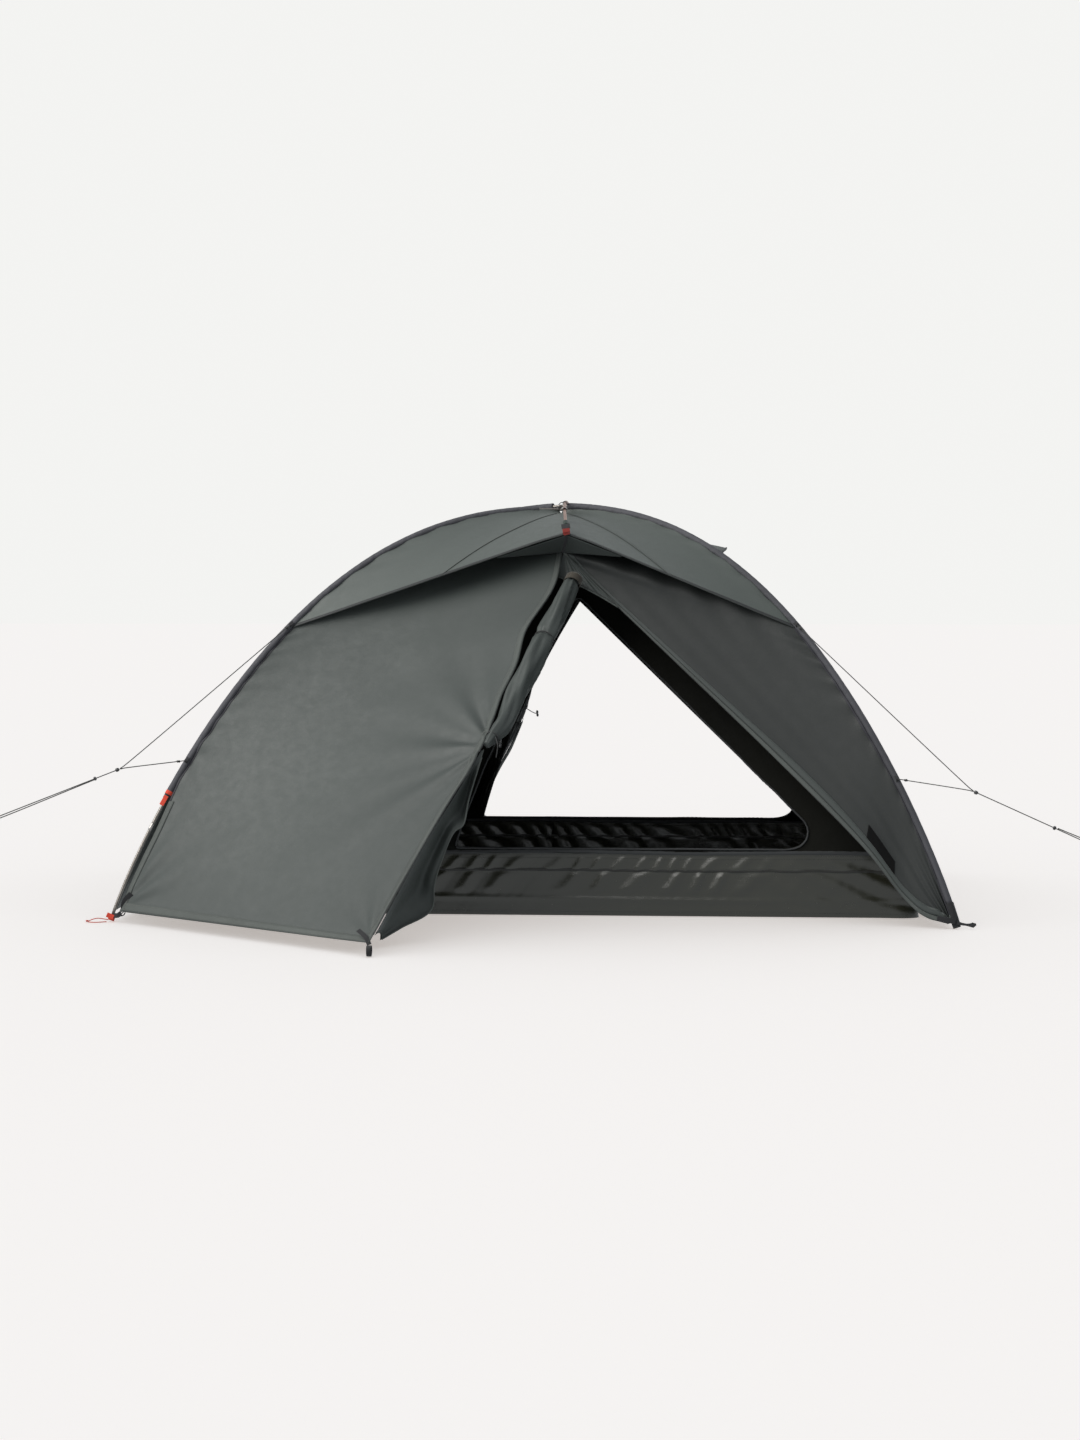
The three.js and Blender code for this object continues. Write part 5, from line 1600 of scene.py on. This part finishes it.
def rise(z):
    return np.clip((z - TUB_H - 0.002) / (INNER_TOP[2] - TUB_H - 0.002), 0, 1)


inner_left, inner_right = inner_edge(-1, -1), inner_edge(1, -1)


def wall_middle(v):
    a = inner_left(v)
    return np.stack([(a[..., 0] + inner_right(v)[..., 0]) / 2,
                     mix(-TUB_W / 2 + 0.004, INNER_TOP[1], rise(a[..., 2])), a[..., 2]], -1)


inner_wall = between(inner_left, inner_right, wall_middle)


def wall_form(u, v):
    """The inner wall's height: slow waves over it and fine puckers along its lower edge."""
    slow = 0.0035 * ripple(9 * u, 6 * v, 11) * np.sin(math.pi * u)
    return slow + 0.0020 * np.sin(60 * u + 3 * v) * np.exp(-(1 - v) / 0.06)


inner_form = shaped(inner_wall, wall_form)


DOOR_BOW = 0.030


def door_left(t):
    """x of the door hole's left edge, bowed outward, for t from 0 at its foot to 1 at its peak."""
    return mix(DOOR_LEFT[0], DOOR_PEAK[0], t) - DOOR_BOW * 4 * t * (1 - t)


def door_outline(grow=0.0):
    """The door hole's outline, from its lower left round to its peak."""
    x0, z0 = door_left(0.0) - grow, DOOR_LEFT[1] - grow
    x1, z1 = DOOR_RIGHT[0] + grow, DOOR_RIGHT[1] - grow
    out = [(x0, z0), (x1 - DOOR_CORNER, z1)]
    a, b, c = vec(x1 - DOOR_CORNER, z1), vec(x1 + 0.020, z1), vec(x1, z1 + DOOR_CORNER)
    for t in np.linspace(0, 1, 13)[1:]:
        out.append(tuple((1 - t) ** 2 * a + 2 * t * (1 - t) * b + t * t * c))
    out += [(DOOR_PEAK[0] + grow, DOOR_PEAK[1] + grow * 2.2),
            (DOOR_PEAK[0] - grow, DOOR_PEAK[1] + grow * 2.2)]
    return out + [(door_left(t) - grow, mix(DOOR_LEFT[1], DOOR_PEAK[1], t))
                  for t in np.linspace(1, 0, 14)[1:-1]]


for tag, turn, end in TURNED:
    surface = turn(inner_form)
    obj = applied(cloth(f"inner_wall_cloth_{tag}", surface, 130, 100, INNER, 0.0007))
    reach = (-0.62, -0.02) if end < 0 else (0.02, 0.62)
    boolean(obj, door_outline(), reach, False)
    gu, gv = np.meshgrid(np.linspace(0.15, 0.98, 260), np.linspace(0.15, 1, 260))
    cloud = surface(gu, gv).reshape(-1, 3)
    outline = door_outline(0.004)
    closed = polyline([(x, 0, z) for x, z in [*outline, outline[0]]])(np.linspace(0, 1, 420))
    rim = np.array([cloud[np.argmin((cloud[:, 0] - x) ** 2 + (cloud[:, 2] - z) ** 2)] for x,
                    z in closed[:, ::2]])
    kernel = np.ones(7) / 7
    rim = np.stack([np.convolve(np.pad(rim[:, k], 3, mode="wrap"), kernel, "valid") for k in range(3)], -1)
    frame_tape = tube(f"inner_door_frame_{tag}", rim + vec(0, end * 0.0012, 0),
                      lambda s, a: 0.0028 + 0.0004 * np.sin(s * 1400 + a), PIPING, sides=10, cap=False)
    teeth = beads(f"inner_door_teeth_{tag}", [rim + vec(0, end * 0.0052, 0)], ZIP_TEETH, pitch=0.0030,
                  size=(0.0011, 0.0011))
    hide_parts(f"inner_wall_{tag}")

    # The inner door, gathered down its left edge.
    t = np.linspace(0, 1, 200)
    z = mix(DOOR_PEAK[1] - 0.020, DOOR_LEFT[1] + 0.035, t)
    up = (z - DOOR_LEFT[1]) / (DOOR_PEAK[1] - DOOR_LEFT[1])
    y = mix(-TUB_W / 2, INNER_TOP[1], (z - TUB_H) / (INNER_TOP[2] - TUB_H))
    line = np.stack([door_left(up) - 0.020, (y + 0.040) * -end, z], -1)

    def gathered(s, a):
        size = 0.007 + 0.010 * np.sin(math.pi * np.clip(s, 0, 1)) ** 0.6
        pinch = 1 - 0.45 * bump_at(s, 0.22, 0.05) - 0.45 * bump_at(s, 0.72, 0.05)
        pleats = 1 + 0.16 * np.sin(7 * a + 9 * s) + 0.10 * np.sin(11 * a - 16 * s)
        return size * pinch * pleats

    roll = tube(f"inner_door_cloth_{tag}", line, gathered, INNER, sides=56)
    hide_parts(f"inner_door_{tag}")
    for k, at in enumerate((0.22, 0.72)):
        i = int(at * 199)
        wrap = circle(line[i], vec(1, 0, 0), vec(0, 1, 0), 0.0095, 40)
        ribbon(f"inner_door_tie_{tag}_{k}", wrap, unit(line[i + 1] - line[i - 1]), 0.009, BLACK_WEB, 0.0010)

for side_name, side in SIDES.items():
    front, back = inner_edge(side, -1), inner_edge(side, 1)

    def middle(v, side=side, front=front):
        a = front(v)
        slope_x = mix(side * (TUB_L / 2 - 0.004), PEAK_X, rise(a[..., 2]))
        return np.stack([mix(slope_x, a[..., 0], INNER_END_SHARE), np.zeros_like(slope_x), a[..., 2]], -1)

    base = between(front, back, middle)
    surface = shaped(base, lambda u, v: 0.0035 * ripple(8 * u, 6 * v, 13) * np.sin(math.pi * u))
    low_v = 0.52
    upper = cloth(f"inner_end_mesh_{side_name}", lambda u, v: surface(u, mix(0, low_v, v)), 60, 50, MESH,
                  0.0004)
    lower = cloth(f"inner_end_cloth_{side_name}", lambda u, v: surface(u, mix(low_v, 1, v)), 80, 50, INNER,
                  0.0007)
    seam = tube(f"inner_end_seam_{side_name}", surface(np.linspace(0, 1, 80), np.full(80, low_v)), 0.0020,
                PIPING, sides=8)
    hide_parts(f"inner_end_{side_name}")

# Clips hang the inner tent on the poles.
for end_name, end in ENDS.items():
    for side_name, side in SIDES.items():
        for k, r in enumerate((0.20, 0.36, 0.52, 0.68, 0.82)):
            p = arch(side, end, np.array(r), lift_of(side, end))
            q = p * vec(*INNER_SHARE, 1) - vec(0, 0, INNER_DROP)
            toward = unit(q - p)
            t = np.linspace(0, 1, 26)
            tube(f"inner_hanger_{side_name}_{end_name}_{k}",
                 segment(p + toward * 0.0105, q - toward * 0.001)(t), 0.0011, CORD_DARK, sides=8)
